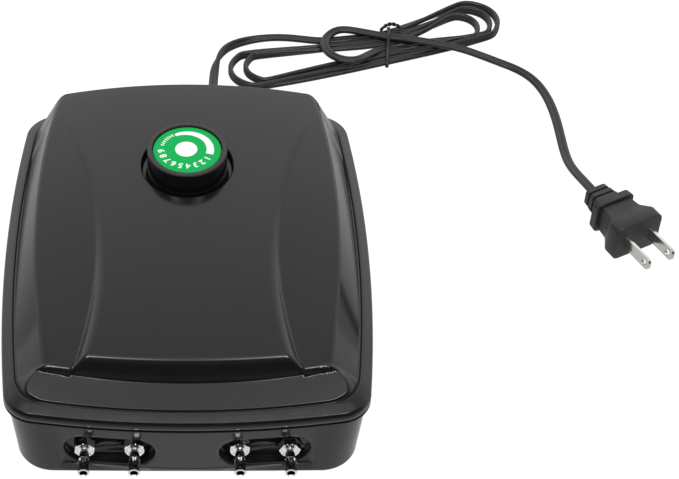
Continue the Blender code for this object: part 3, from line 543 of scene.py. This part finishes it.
def cover_height(x, y):
    """Height of the cover's dome: two low side panels and a raised waisted panel."""
    across = np.abs(x)
    drop = np.where(y < CREST_Y, 12 * ((y - CREST_Y) / 123.5) ** 2, 3 * ((y - CREST_Y) / 30) ** 2)
    crown = 0.0006 + 0.0007 * smooth_step(-75, 70, y)
    step = PANEL_STEP * (1 - smooth_step(-75, 62, y))
    raised = CREST_Z - drop - crown * across ** 2
    side_panel = raised - step

    bow = 2.5 * (across / 38) ** 2
    front_edge = FOOT_LINE["half_y"] - FOOT_LINE["sag_y"] * (x / RIM["half_x"]) ** 2
    apron = APRON_SLOPE * (y + front_edge)
    riser = FOOT_LINE_Z + 5.5 + RISER_SLOPE * (y + 77.7 - bow)
    slant = 0.196 * (across - 45) + 2.0 * np.maximum(45 - across, 0.0)
    side_riser = FOOT_LINE_Z + 7.7 + RISER_SLOPE * (y + 73.8 - slant)
    panel_edge = 36.8 + 0.0028 * (y + 22.3) ** 2
    panel_wall = side_panel + 1.2 * (panel_edge - across)

    front = smooth_max(apron, side_riser - FOOT_LINE_Z, 0.3)
    crease = 62.4 - 0.00125 * (y - 2) ** 2
    side_edge = FOOT_LINE["half_x"] - FOOT_LINE["sag_x"] * (y / RIM["half_y"]) ** 2
    crease_height = np.maximum(CREST_Z - drop - step - crown * crease ** 2 - FOOT_LINE_Z, 6.0)
    on_apron = 1 - smooth_step(-78, -70, y)
    side_slope = crease_height / (side_edge - crease)
    side = (side_slope + (1.6 - side_slope) * on_apron) * (side_edge - across)
    back = 3.0 * (front_edge - y)

    edge_chamfer = side_panel + 0.29 * np.maximum(side_riser - side_panel, -6.0) - 0.4
    low_part = smooth_min(smooth_min(side_panel, edge_chamfer, 0.15), FOOT_LINE_Z + front, 0.3)
    low_part = np.minimum(low_part, FOOT_LINE_Z + rounded_corner(side, front, FRONT_CORNER))
    high_part = smooth_min(smooth_min(raised, riser, 5.2), panel_wall, 3.0)
    top = smooth_max(low_part, high_part, 0.25 + 0.75 * smooth_step(-72, -55, y))
    top = smooth_min(top, FOOT_LINE_Z + side, 3.0 - 2.6 * on_apron)
    top = smooth_min(top, FOOT_LINE_Z + back, 3.0)
    top = np.minimum(top, FOOT_LINE_Z + rounded_corner(side, back, BACK_CORNER))
    return np.maximum(top, FOOT_LINE_Z)


def cover_normal(x, y):
    """Unit normals of the dome, from its slope a little way to each side."""
    reach = 0.12
    slope_x = (cover_height(x + reach, y) - cover_height(x - reach, y)) / (2 * reach)
    slope_y = (cover_height(x, y + reach) - cover_height(x, y - reach)) / (2 * reach)
    normal = np.stack([-slope_x, -slope_y, np.ones_like(x)], axis=1)
    return normal / np.linalg.norm(normal, axis=1)[:, None]


# ---- casing ----
def stands_for(piece, body, slot, *nodes):
    """The piece moves with a body and replaces CAD nodes; the slot is not used."""
    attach(piece, body)
    if nodes:
        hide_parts(*nodes)
    return piece


def with_height(rows, z):
    return np.column_stack([rows, np.broadcast_to(z, len(rows))])


def combine(piece, tool, operation):
    """Apply a boolean with another closed piece, which is then removed."""
    boolean = piece.modifiers.new("cut", "BOOLEAN")
    boolean.operation = operation
    boolean.solver = "MANIFOLD"
    boolean.object = tool
    graph = bpy.context.evaluated_depsgraph_get()
    mesh = bpy.data.meshes.new_from_object(piece.evaluated_get(graph))
    piece.modifiers.clear()
    piece.data = mesh
    bpy.data.objects.remove(tool)


def join_bodies(name, bodies):
    """One object from the rings of several closed bodies, in the casing's frame."""
    vertices, faces = [], []
    for rings in bodies:
        first = len(vertices)
        count = len(rings[0])
        vertices.extend(point for ring in rings for point in ring)
        for face in ring_faces(len(rings), count, caps=True):
            faces.append(tuple(first + corner for corner in face))
    return add_mesh(name, vertices, faces, SHELL)


def round_rings(centre, profile, axis="Z", segments=32):
    """Rings of a turned body about a line along Z or Y; the profile is (radius, along)."""
    rings = []
    for radius, along in profile:
        ring = []
        for i in range(segments):
            angle = math.tau * i / segments
            u, v = radius * math.cos(angle), radius * math.sin(angle)
            if axis == "Z":
                ring.append((centre[0] + u, centre[1] + v, along))
            else:
                ring.append((centre[0] + u, along, centre[1] - v))
        rings.append(ring)
    return rings


def slab_rings(low, high):
    corners = [(low[0], low[1]), (high[0], low[1]), (high[0], high[1]), (low[0], high[1])]
    return [[(x, y, z) for x, y in corners] for z in (low[2], high[2])]


def wall_y(x, z):
    """Where the front wall's outside lies, between the crease and the lip."""
    share = (z - CREASE_Z) / (LIP_FOOT - CREASE_Z)
    low = CREASE["half_y"] - CREASE["sag_y"] * (x / CREASE["half_x"]) ** 2
    high = WALL_TOP["half_y"] - WALL_TOP["sag_y"] * (x / WALL_TOP["half_x"]) ** 2
    return -(low + (high - low) * share)


def stadium(centre_x, half_length, radius, steps=14):
    reach = half_length - radius
    points = []
    for side, start in ((1, -90), (-1, 90)):
        for i in range(steps + 1):
            angle = math.radians(start + 180 * i / steps)
            points.append((centre_x + side * reach + radius * math.cos(angle),
                           POCKET_Z + radius * math.sin(angle)))
    straight = 12
    top = [(points[steps][0] + (points[steps + 1][0] - points[steps][0]) * i / straight, points[steps][1])
           for i in range(1, straight)]
    low = [(points[-1][0] + (points[0][0] - points[-1][0]) * i / straight, points[-1][1])
           for i in range(1, straight)]
    return points[:steps + 1] + top + points[steps + 1:] + low


def pocket_rings(centre_x):
    """A stadium cutter that rounds over into the bowed wall and has a flat floor."""
    mouth = stadium(centre_x, POCKET_HALF + 0.36, POCKET_R + 0.36)
    rings = [[(x, -97.0, z) for x, z in reversed(mouth)]]
    for spread, depth in ((0.36, -1.2), (0.36, 0.0), (0.2, 0.04), (0.08, 0.14), (0.02, 0.28), (0.0, 0.5)):
        outline_points = stadium(centre_x, POCKET_HALF + spread, POCKET_R + spread)
        rings.append([(x, wall_y(x, z) + depth, z) for x, z in reversed(outline_points)])
    for shrink, short in ((0.0, 0.25), (0.25, 0.0)):
        outline_points = stadium(centre_x, POCKET_HALF - shrink, POCKET_R - shrink)
        rings.append([(x, POCKET_FLOOR - short, z) for x, z in reversed(outline_points)])
    return rings


def make_base():
    """Lower shell: walls over a crease that rises towards the corners, and a lip at the seam."""
    bottom, wall_top, crease = outline(BOTTOM), outline(WALL_TOP), outline(CREASE)
    across = np.abs(crease[:, 0])
    crease_z = CREASE_Z - CREASE_DROP * (1 - np.minimum(across / CREASE_REACH, 1))
    share = (crease_z - BOTTOM_TOP) / (LIP_FOOT - BOTTOM_TOP)
    straight = bottom + (wall_top - bottom) * share[:, None]
    shown = np.where(np.abs(crease[:, 1]) > 80, smooth_step(55, 47, across), 0.0)[:, None]
    crease = straight + (crease - straight) * shown
    ledge = crease + (outline(CREASE, -LEDGE_OUT) - outline(CREASE)) * shown
    rings = [with_height(outline(BOTTOM, inset), z)
             for inset, z in ((2.4, 0.0), (1.4, 0.0), (0.7, 0.12), (0.2, 0.5), (0.0, 1.2), (0.0, BOTTOM_TOP))]
    rings.append(with_height(ledge, crease_z - LEDGE_DROP))
    rows = 16
    for i in range(rows + 1):
        share = i / rows
        height = crease_z + (LIP_FOOT - crease_z) * share
        rings.append(with_height(crease + (wall_top - crease) * share, height))
    for inset, drop in ((0.16, 0.76), (0.0, 0.5), (0.0, 0.15), (0.15, 0.0), (2.0, 0.0), (3.6, 0.0)):
        rings.append(with_height(outline(RIM, inset), LIP_TOP - drop))
    faces = ring_faces(len(rings), len(crease), caps=True)
    base = add_mesh("base", np.vstack(rings), faces, SHELL, smooth=28)

    hollow = [with_height(outline(BOTTOM, 3.2, 6, 6, 6), 2.6),
              with_height(outline(WALL_TOP, WALL, 6, 6, 6), 33.0)]
    combine(base, join_bodies("hollow", [hollow]), "DIFFERENCE")

    bosses = []
    for side in (-1, 1):
        x = side * POCKET_X
        bosses.append(slab_rings((x - POCKET_BOSS_X, POCKET_BOSS_FRONT, POCKET_Z - POCKET_BOSS_Z),
                                 (x + POCKET_BOSS_X, POCKET_FLOOR + POCKET_BACK, POCKET_Z + POCKET_BOSS_Z)))
    for x in (-SCREW_X, SCREW_X):
        for y in (-SCREW_Y, SCREW_Y):
            bosses.append(round_rings((x, y), [(SCREW_BOSS_R, 1.0), (SCREW_BOSS_R, SCREW_BOSS_TOP)]))
    for y in CORE_SCREW_Y:
        bosses.append(round_rings((0, y), [(CORE_BOSS_R, 1.0), (CORE_BOSS_R, CORE_BOSS_TOP)]))
    filter_boss = [(FILTER_BOSS_R, 1.0), (FILTER_BOSS_R, FILTER_BOSS_TOP)]
    bosses.append(round_rings((0, FILTER_Y), filter_boss, segments=64))
    combine(base, join_bodies("bosses", bosses), "UNION")

    pockets = [pocket_rings(side * POCKET_X) for side in (-1, 1)]
    combine(base, join_bodies("pockets", pockets), "DIFFERENCE")
    cuts = []
    outlet_hole = [(OUTLET_HOLE_R, POCKET_FLOOR - 0.5), (OUTLET_HOLE_R, POCKET_FLOOR + 4)]
    screw_hole = [(SCREW_HEAD_HOLE_R, -1), (SCREW_HEAD_HOLE_R, 5), (SCREW_HOLE_R, 5), (SCREW_HOLE_R, 30)]
    for x in OUTLET_X:
        cuts.append(round_rings((x, OUTLET_Z), outlet_hole, axis="Y"))
    for x in (-SCREW_X, SCREW_X):
        for y in (-SCREW_Y, SCREW_Y):
            cuts.append(round_rings((x, y), screw_hole))
    for y in CORE_SCREW_Y:
        cuts.append(round_rings((0, y), [(SCREW_HOLE_R, 3.6), (SCREW_HOLE_R, 9)]))
    for x in (-FOOT_X, FOOT_X):
        for y in (-FOOT_Y, FOOT_Y):
            cuts.append(round_rings((x, y), [(FOOT_HOLE_R, -1), (FOOT_HOLE_R, 4)]))
    filter_bore = [(FILTER_BORE_R, -1), (FILTER_BORE_R, FILTER_ROOF)]
    cuts.append(round_rings((0, FILTER_Y), filter_bore, segments=64))
    exit_hole = [(EXIT_HOLE_R, 84), (EXIT_HOLE_R, 96)]
    cuts.append(round_rings((EXIT_X, EXIT_Z), exit_hole, axis="Y", segments=40))
    combine(base, join_bodies("cuts", cuts), "DIFFERENCE")
    intake = []
    for i in range(INTAKE_HOLES):
        angle = math.tau * i / INTAKE_HOLES
        centre = (INTAKE_RING_R * math.cos(angle), FILTER_Y + INTAKE_RING_R * math.sin(angle))
        intake.append(round_rings(centre, [(INTAKE_HOLE_R, 7), (INTAKE_HOLE_R, 12)]))
    combine(base, join_bodies("intake", intake), "DIFFERENCE")
    stands_for(base, "housing", "shell", "base_shell")


def make_cover():
    """Rings from the knob well's middle, over the dome and round the flange, and back inside."""
    foot = outline(FOOT_LINE)
    well = np.array((0.0, KNOB_Y))
    away = foot - well
    away /= np.linalg.norm(away, axis=1)[:, None]

    def circle(radius):
        return well + away * radius

    mouth = circle(WELL_R + WELL_ROUND)
    mouth_height = cover_height(mouth[:, 0], mouth[:, 1])
    rings = [with_height(circle(radius), z) for radius, z in
             ((SHAFT_HOLE_R, WELL_ROOF), (SHAFT_HOLE_R, WELL_FLOOR), (WELL_R - 0.8, WELL_FLOOR),
              (WELL_R - 0.2, WELL_FLOOR + 0.2), (WELL_R, WELL_FLOOR + 0.8))]
    for i in range(4):
        angle = math.radians(30 * i)
        ring = circle(WELL_R + WELL_ROUND * (1 - math.cos(angle)))
        rings.append(with_height(ring, mouth_height - WELL_ROUND * (1 - math.sin(angle))))

    first_dome = len(rings)
    shares = np.concatenate([np.linspace(0, 0.82, 110), np.linspace(0.82, 1.0, 45)[1:]])
    for share in shares:
        ring = mouth + (foot - mouth) * share
        rings.append(with_height(ring, cover_height(ring[:, 0], ring[:, 1])))

    rim = outline(RIM)
    for out, drop in FLANGE:
        ring = foot + (rim - foot) * (out / FLANGE[-1][0])
        rings.append(with_height(ring, FOOT_LINE_Z + drop))
    for inset, rise in ((0.0, 0.15), (0.15, 0.0), (3.4, 0.0), (3.7, 2.9)):
        rings.append(with_height(outline(RIM, inset), COVER_LOW + rise))
    inner_edge = outline(RIM, 3.7)
    inner_well = circle(WELL_R + 2.0)
    for share in np.linspace(0.06, 1.0, 26):
        ring = inner_edge + (inner_well - inner_edge) * share
        height = cover_height(ring[:, 0], ring[:, 1]) - 2.4
        rings.append(with_height(ring, np.maximum(height, 34.0)))
    rings.append(with_height(inner_well, WELL_ROOF))
    rings.append(rings[0])

    points = np.vstack(rings)
    faces = [face[::-1] for face in ring_faces(len(rings), len(foot))]
    cover = add_mesh("cover", points, faces, SHELL, smooth=40)
    mesh = cover.data
    normals = np.zeros(len(mesh.vertices) * 3, np.float32)
    mesh.vertex_normals.foreach_get("vector", normals)
    normals = normals.reshape(-1, 3)
    count = len(foot)
    for k in range(1, len(shares) - 1):
        rows = slice((first_dome + k) * count, (first_dome + k + 1) * count)
        normals[rows] = cover_normal(points[rows, 0], points[rows, 1])
    mesh.normals_split_custom_set_from_vertices(normals.tolist())
    stands_for(cover, "housing", "shell", "cover_shell")


def make_gasket():
    low, high = LIP_TOP + 0.3, COVER_LOW - 0.3
    rings = [with_height(outline(RIM, inset), z)
             for inset, z in ((1.0, low), (0.9, (low + high) / 2), (1.0, high), (3.4, high), (3.4, low),
                              (1.0, low))]
    gasket = add_mesh("gasket", np.vstack(rings), ring_faces(len(rings), len(rings[0])), RUBBER)
    stands_for(gasket, "housing", "rubber", "rim_gasket")


# ---- knob and its dial ----
def flat_shape(name, outlines, thickness, bevel, material):
    """A flat plate in XY from closed outlines, holes included, in millimetres."""
    curve = bpy.data.curves.new(name, "CURVE")
    curve.dimensions = "2D"
    curve.fill_mode = "BOTH"
    curve.extrude = thickness / 2 - bevel
    curve.bevel_depth = bevel
    curve.bevel_resolution = 2
    curve.offset = -bevel
    for points in outlines:
        spline = curve.splines.new("POLY")
        spline.points.add(len(points) - 1)
        for target, (x, y) in zip(spline.points, points):
            target.co = (x, y, 0.0, 1.0)
        spline.use_cyclic_u = True
    return curve_to_mesh(name, curve, material)


def curve_to_mesh(name, curve, material):
    source = bpy.data.objects.new(name + "_curve", curve)
    bpy.context.scene.collection.objects.link(source)
    graph = bpy.context.evaluated_depsgraph_get()
    mesh = bpy.data.meshes.new_from_object(source.evaluated_get(graph))
    bpy.data.objects.remove(source)
    bm = bmesh.new()
    bm.from_mesh(mesh)
    bmesh.ops.remove_doubles(bm, verts=bm.verts, dist=0.0005)
    bm.to_mesh(mesh)
    bm.free()
    mesh.shade_smooth()
    mesh.set_sharp_from_angle(angle=math.radians(30))
    mesh.materials.clear()
    mesh.materials.append(material)
    piece = bpy.data.objects.new(name, mesh)
    bpy.context.scene.collection.objects.link(piece)
    return piece


def polar(radius, degrees):
    angle = math.radians(degrees)
    return radius * math.cos(angle), radius * math.sin(angle)


def crescent():
    """The white wedge of the air scale, wider towards its right-hand end."""
    outer, inner = [], []
    steps = 40
    for i in range(steps + 1):
        share = i / steps
        degrees = 118 - 135 * share
        outer.append(polar(10.5 + 1.1 * math.sqrt(share), degrees))
        inner.append(polar(9.3 - 0.9 * math.sqrt(share), degrees))
    return outer + inner[::-1]


def tick(degrees):
    half = 1.55
    return [polar(9.5, degrees - half), polar(10.9, degrees - half),
            polar(10.9, degrees + half), polar(9.5, degrees + half)]


def numeral(text, degrees, radius, size):
    """One printed figure whose top points away from the dial's middle."""
    curve = bpy.data.curves.new("numeral", "FONT")
    curve.body = text
    curve.size = size
    curve.extrude = PRINT_THICK / 2
    curve.offset = 0.09
    curve.align_x = "CENTER"
    curve.align_y = "CENTER"
    figure = curve_to_mesh("dial_number_" + text, curve, PRINT)
    x, y = polar(radius, degrees)
    turn = Matrix.Translation((x, y, 0)) @ Matrix.Rotation(math.radians(degrees - 90), 4, "Z")
    figure.data.transform(turn)
    return figure


def on_dial(piece, lift):
    """Scale a piece drawn in millimetres about the dial's middle, and set it on the dial."""
    middle = Vector((DIAL_SHIFT[0], KNOB_Y + DIAL_SHIFT[1], DIAL_TOP + lift))
    piece.data.transform(Matrix.Translation(CASING + middle * MM) @ Matrix.Scale(MM, 4))
    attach(piece, "knob")


def make_knob():
    centre = (0, KNOB_Y, 0)
    body = [(0, 66.6), (3.4, 66.6), (3.4, 60.3), (6.8, 60.3), (6.8, 63.0), (15.0, 63.0), (15.0, 58.6),
            (16.6, 58.6), (16.6, 68.9), (16.1, 68.2), (0, 68.2)]
    knob = turned("knob", fillet(body, 0.35), centre, (0, 0, 1), KNOB_SIDE, segments=160)
    stands_for(knob, "knob", "knob", "control_knob")
    ring = [(14.5, 68.3), (16.0, 68.4), (16.58, 69.05), (16.6, 69.35), (16.25, 69.95), (14.6, 70.0),
            (14.5, 68.3)]
    rim = turned("knob_rim", fillet(ring, 0.18), centre, (0, 0, 1), KNOB_RIM, segments=160)
    stands_for(rim, "knob", "knob")
    disc = [(0, 68.3), (14.1, 68.3), (14.1, 69.1), (13.9, 69.3), (0, 69.3)]
    dial = turned("dial", fillet(disc, 0.1, 2), centre, (0, 0, 1), DIAL, segments=160)
    stands_for(dial, "knob", "dial", "dial_disc")

    shapes = [crescent()] + [tick(124.5 + 6.8 * i) for i in range(7)]
    on_dial(flat_shape("dial_scale", shapes, PRINT_THICK, 0.0, PRINT), PRINT_THICK / 2)
    dot = [polar(4.6, 360 * i / 64) for i in range(64)]
    on_dial(flat_shape("dial_dot", [dot], PRINT_THICK, 0.0, PRINT), PRINT_THICK / 2)
    for i in range(9):
        on_dial(numeral(str(i + 1), -33 - 17.6 * i, 10.2, 4.0), PRINT_THICK / 2)


# ---- air outlets ----
def hexagon_radius(degrees, turn):
    off_flat = (degrees - turn) % 60 - 30
    return HEX_ACROSS_FLATS / 2 / math.cos(math.radians(off_flat))


def make_outlet(number, x, turn):
    """A hexagon flange with chamfered corners, then a barrel with two barbs and a bore."""
    segments = 96
    stem = [(2.4, -70.0), (2.4, -76.2), (3.0, -76.5), (3.0, POCKET_FLOOR - 0.3)]
    flange = [(9.9, POCKET_FLOOR - 0.3), (9.9, HEX_FRONT + 0.6), (4.15, HEX_FRONT + 0.2), (3.8, HEX_FRONT),
              (3.3, HEX_FRONT), (2.95, HEX_FRONT + 0.45), (2.6, HEX_FRONT + 0.2), (2.3, HEX_FRONT + 0.35)]
    barrel = [(1.95, HEX_FRONT + 0.35), (1.95, -92.65), (2.3, -92.75), (2.45, -93.0), (2.45, -93.3),
              (2.25, -93.75), (2.25, -98.4), (2.4, -98.75), (2.4, -99.05), (2.2, -99.3), (1.62, -99.3),
              (1.5, -99.1), (1.5, -70.2), (2.4, -70.0)]
    vertices = []
    profile = stem + flange + barrel
    for limit, along in profile:
        for i in range(segments):
            degrees = 360 * i / segments
            radius = min(limit, hexagon_radius(degrees, turn))
            angle = math.radians(degrees)
            vertices.append((x + radius * math.cos(angle), along, OUTLET_Z + radius * math.sin(angle)))
    faces = ring_faces(len(profile), segments)
    outlet = add_mesh(f"outlet_{number}", vertices, faces, CHROME, smooth=24)
    stands_for(outlet, "housing", "chrome", f"air_outlet_{number}")


# ---- strain relief, feet, plug and tie ----
def make_strain_relief():
    wall = BACK_WALL_Y
    profile = [(0, wall - 6), (3.6, wall - 6), (3.6, wall + 0.3), (6.2, wall + 0.3), (6.2, wall + 2.2),
               (4.9, wall + 2.8)]
    ribs = 7
    for i in range(ribs):
        start = wall + 3.0 + i * 2.8
        radius = 4.7 - 1.35 * i / (ribs - 1)
        profile += [(radius, start), (radius - 0.1, start + 1.7), (radius - 0.8, start + 1.9),
                    (radius - 0.85, start + 2.6)]
    profile += [(3.1, wall + 22.9), (3.0, wall + 23.6), (0, wall + 23.6)]
    centre = (EXIT_X, 0, EXIT_Z)
    relief = turned("strain_relief_boot", fillet(profile, 0.3, 3), centre, (0, 1, 0), CORD, segments=64)
    stands_for(relief, "housing", "cord", "strain_relief")


def make_feet():
    number = 1
    for y in (-FOOT_Y, FOOT_Y):
        for x in (-FOOT_X, FOOT_X):
            profile = [(0, -2.5), (3.6, -2.5), (4.0, -3.0), (6.4, -3.0), (7.0, -2.4), (7.0, -0.3),
                       (2.6, -0.3), (2.6, 2.2), (0, 2.2)]
            foot = turned(f"foot_{number}", fillet(profile, 0.3, 3), (x, y, 0), (0, 0, 1), RUBBER,
                          segments=64)
            stands_for(foot, "housing", "rubber", f"rubber_foot_{number}")
            number += 1


def plug_matrix():
    place = Matrix.Translation(Vector((*PLUG_END, PLUG_HEIGHT)) * MM)
    return place @ Matrix.Rotation(PLUG_AIM, 4, "Z") @ Matrix.Scale(MM, 4)


def plug_section(along, half_width, half_height, corner, steps=6):
    """A rounded rectangle across the plug's axis."""
    ring = []
    for side_y, side_z, start in ((1, 1, 0), (-1, 1, 90), (-1, -1, 180), (1, -1, 270)):
        for i in range(steps + 1):
            angle = math.radians(start + 90 * i / steps)
            ring.append((along, side_y * (half_width - corner) + corner * math.cos(angle),
                         side_z * (half_height - corner) + corner * math.sin(angle)))
    return ring


def make_plug():
    """Ribbed neck, collar, waisted grip and front plate, then two blades with holes."""
    sections = [(0.0, 4.4, 3.2, 1.4), (0.5, 5.1, 4.1, 1.6)]
    for i in range(3):
        start, grow = 0.7 + 3.5 * i, 0.45 * i
        sections += [(start, 5.3 + grow, 4.3 + grow, 1.7), (start + 2.3, 5.5 + grow, 4.5 + grow, 1.7),
                     (start + 2.55, 4.7 + grow, 3.7 + grow, 1.4), (start + 3.2, 4.7 + grow, 3.7 + grow, 1.4)]
    sections += [
        (11.1, 9.2, 7.4, 2.6), (11.4, 9.7, 7.9, 2.8), (14.8, 10.0, 8.2, 2.9), (15.2, 9.7, 7.9, 2.8),
        (15.5, 8.2, 6.7, 1.6), (15.9, 8.1, 6.6, 1.2), (20.6, 8.4, 7.0, 1.2), (22.0, 8.9, 7.4, 1.4),
        (25.8, 11.7, 8.9, 2.6), (26.6, 12.1, 9.2, 3.0), (32.1, 12.2, 9.3, 3.2), (32.45, 12.0, 9.1, 3.1),
        (32.6, 11.5, 8.6, 3.0),
    ]
    rings = [plug_section(*section) for section in sections]
    vertices = [tuple(plug_matrix() @ Vector(point) / MM) for ring in rings for point in ring]
    faces = ring_faces(len(rings), len(rings[0]), caps=True)
    body = add_mesh("plug", vertices, faces, PLUG, smooth=32, casing=False)
    stands_for(body, "housing", "cord", "plug_body")

    tip = [(32.4, -3.1), (47.4, -3.1), (48.7, -2.5), (49.4, -1.4), (49.4, 1.4), (48.7, 2.5), (47.4, 3.1),
           (32.4, 3.1)]
    hole = [(46.0 + 1.55 * math.cos(math.tau * i / 32), 1.55 * math.sin(math.tau * i / 32))
            for i in range(32)]
    for side, word in ((1, "left"), (-1, "right")):
        blade = flat_shape(f"blade_{word}", [tip, hole], BLADE_THICK, 0.18, NICKEL)
        upright = Matrix.Translation((0, side * BLADE_REACH, 0)) @ Matrix.Rotation(math.pi / 2, 4, "X")
        blade.data.transform(plug_matrix() @ upright)
        stands_for(blade, "housing", "nickel", f"plug_blade_{word}")


def wire(name, points, half_width, half_thick):
    """A rounded strip along a line, its width across the hank's length."""
    line = np.asarray(points, float)
    sides = 12
    section = [(half_width * math.cos(math.tau * i / sides), half_thick * math.sin(math.tau * i / sides))
               for i in range(sides)]
    tangent = np.gradient(line, axis=0)
    tangent /= np.linalg.norm(tangent, axis=1)[:, None]
    across = np.array((TIE_FAR[1] - TIE_NEAR[1], TIE_NEAR[0] - TIE_FAR[0], 0.0))
    across /= np.linalg.norm(across)
    up = np.cross(tangent, across)
    up /= np.linalg.norm(up, axis=1)[:, None]
    side = np.cross(up, tangent)
    vertices = np.stack([line + side * u + up * v for u, v in section], axis=1).reshape(-1, 3)
    return add_mesh(name, vertices, ring_faces(len(line), sides, caps=True), TIE, smooth=60, casing=False)


def make_tie():
    """A strip over the hank from floor to floor, whose ends are twisted together on top."""
    # Shares of the way across the tie, each with a height.
    over = [(-0.055, 0.25), (-0.075, 1.6), (-0.05, 3.0), (0.04, 3.9), (0.13, 5.2), (0.24, 6.1), (0.36, 6.1),
            (0.47, 5.0), (0.58, 3.7), (0.75, 3.2), (0.93, 3.2), (1.02, 2.7), (1.05, 1.5), (1.05, 0.25)]
    points = []
    for share, z in over:
        points.append((TIE_FAR[0] + (TIE_NEAR[0] - TIE_FAR[0]) * share,
                       TIE_FAR[1] + (TIE_NEAR[1] - TIE_FAR[1]) * share, z))
    smooth_line = spline(points, 0.6)
    tie = wire("tie", smooth_line, 0.85, 0.5)
    stands_for(tie, "housing", "tie", "cord_tie")
    start, end = Vector((97.2, 193.6, 4.4)), Vector((108.2, 194.6, 4.6))
    arch = Vector((0.0, 3.9, 0.6))
    axis = (end - start).normalized()
    side = axis.cross(Vector((0, 0, 1))).normalized()
    other = axis.cross(side)
    for strand in (0, 1):
        twisted = []
        for i in range(61):
            share = i / 60
            angle = math.pi * strand + share * math.tau * 2.6
            middle = start + (end - start) * share + arch * 4 * share * (1 - share)
            twisted.append(tuple(middle + (side * math.cos(angle) + other * math.sin(angle)) * 0.5))
        stands_for(wire(f"tie_end_{strand + 1}", twisted, 0.55, 0.55), "housing", "tie")


# ---- CAD nodes that stay: a better material for each slot ----
def striped(name, first, second, scale, axis, metallic, roughness):
    """Fine layers along one axis, as in a lamination stack or a wire winding."""
    material, tree, shader = new_material(name)
    shader.inputs["Metallic"].default_value = metallic
    place = tree.nodes.new("ShaderNodeTexCoord")
    wave = tree.nodes.new("ShaderNodeTexWave")
    wave.bands_direction = axis
    wave.inputs["Scale"].default_value = scale
    wave.inputs["Distortion"].default_value = 0.6
    tree.links.new(place.outputs["Object"], wave.inputs["Vector"])
    vary_color(tree, wave.outputs["Fac"], first, second, shader.inputs["Base Color"])
    vary(tree, add_noise(tree, 220.0), roughness * 0.85, roughness * 1.2, shader.inputs["Roughness"])
    add_bump(tree, shader, wave.outputs["Fac"], 0.4, 0.0002)
    return material


def make_slot_materials():
    return {
        "shell": SHELL,
        "rubber": RUBBER,
        "steel": STEEL,
        "knob": KNOB_SIDE,
        "hose": moulded("hose", (0.05, 0.05, 0.05), 0.45, bump=0.05),
        "lamination": striped("lamination", (0.1, 0.1, 0.11), (0.24, 0.24, 0.25), 300.0, "Z", 0.8, 0.45),
        "copper": striped("copper", (0.42, 0.15, 0.05), (0.66, 0.28, 0.12), 420.0, "Y", 0.9, 0.3),
        "nylon": moulded("nylon", (0.66, 0.66, 0.61), 0.5, grain=700.0, bump=0.1, mottle=0.05),
        "ferrite": moulded("ferrite", (0.045, 0.045, 0.05), 0.55, grain=1400.0, bump=0.25, mottle=0.2),
        "board": moulded("board", (0.02, 0.15, 0.055), 0.35, grain=500.0, bump=0.1, mottle=0.2),
        "capacitor": moulded("capacitor", (0.09, 0.09, 0.11), 0.3, bump=0.03),
        "terminal": moulded("terminal", (0.04, 0.19, 0.28), 0.45, bump=0.08),
        "felt": moulded("felt", (0.7, 0.7, 0.66), 0.95, grain=420.0, bump=0.9, mottle=0.12, specular=0.1),
    }


def dress_nodes():
    """Give every CAD node that still shows the material of its slot."""
    materials = make_slot_materials()
    for subpart in frame["record"]["subparts"]:
        node = frame["nodes"][subpart["node"]]
        if subpart["material_slot"] in materials and not node.hide_render:
            node.data.materials.clear()
            node.data.materials.append(materials[subpart["material_slot"]])


make_camera()
make_studio()
make_base()
make_cover()
make_gasket()
make_knob()
for outlet_number, (outlet_x, outlet_turn) in enumerate(zip(OUTLET_X, OUTLET_TURN), 1):
    make_outlet(outlet_number, outlet_x, outlet_turn)
make_strain_relief()
make_feet()
make_plug()
make_tie()
make_lead()
dress_nodes()
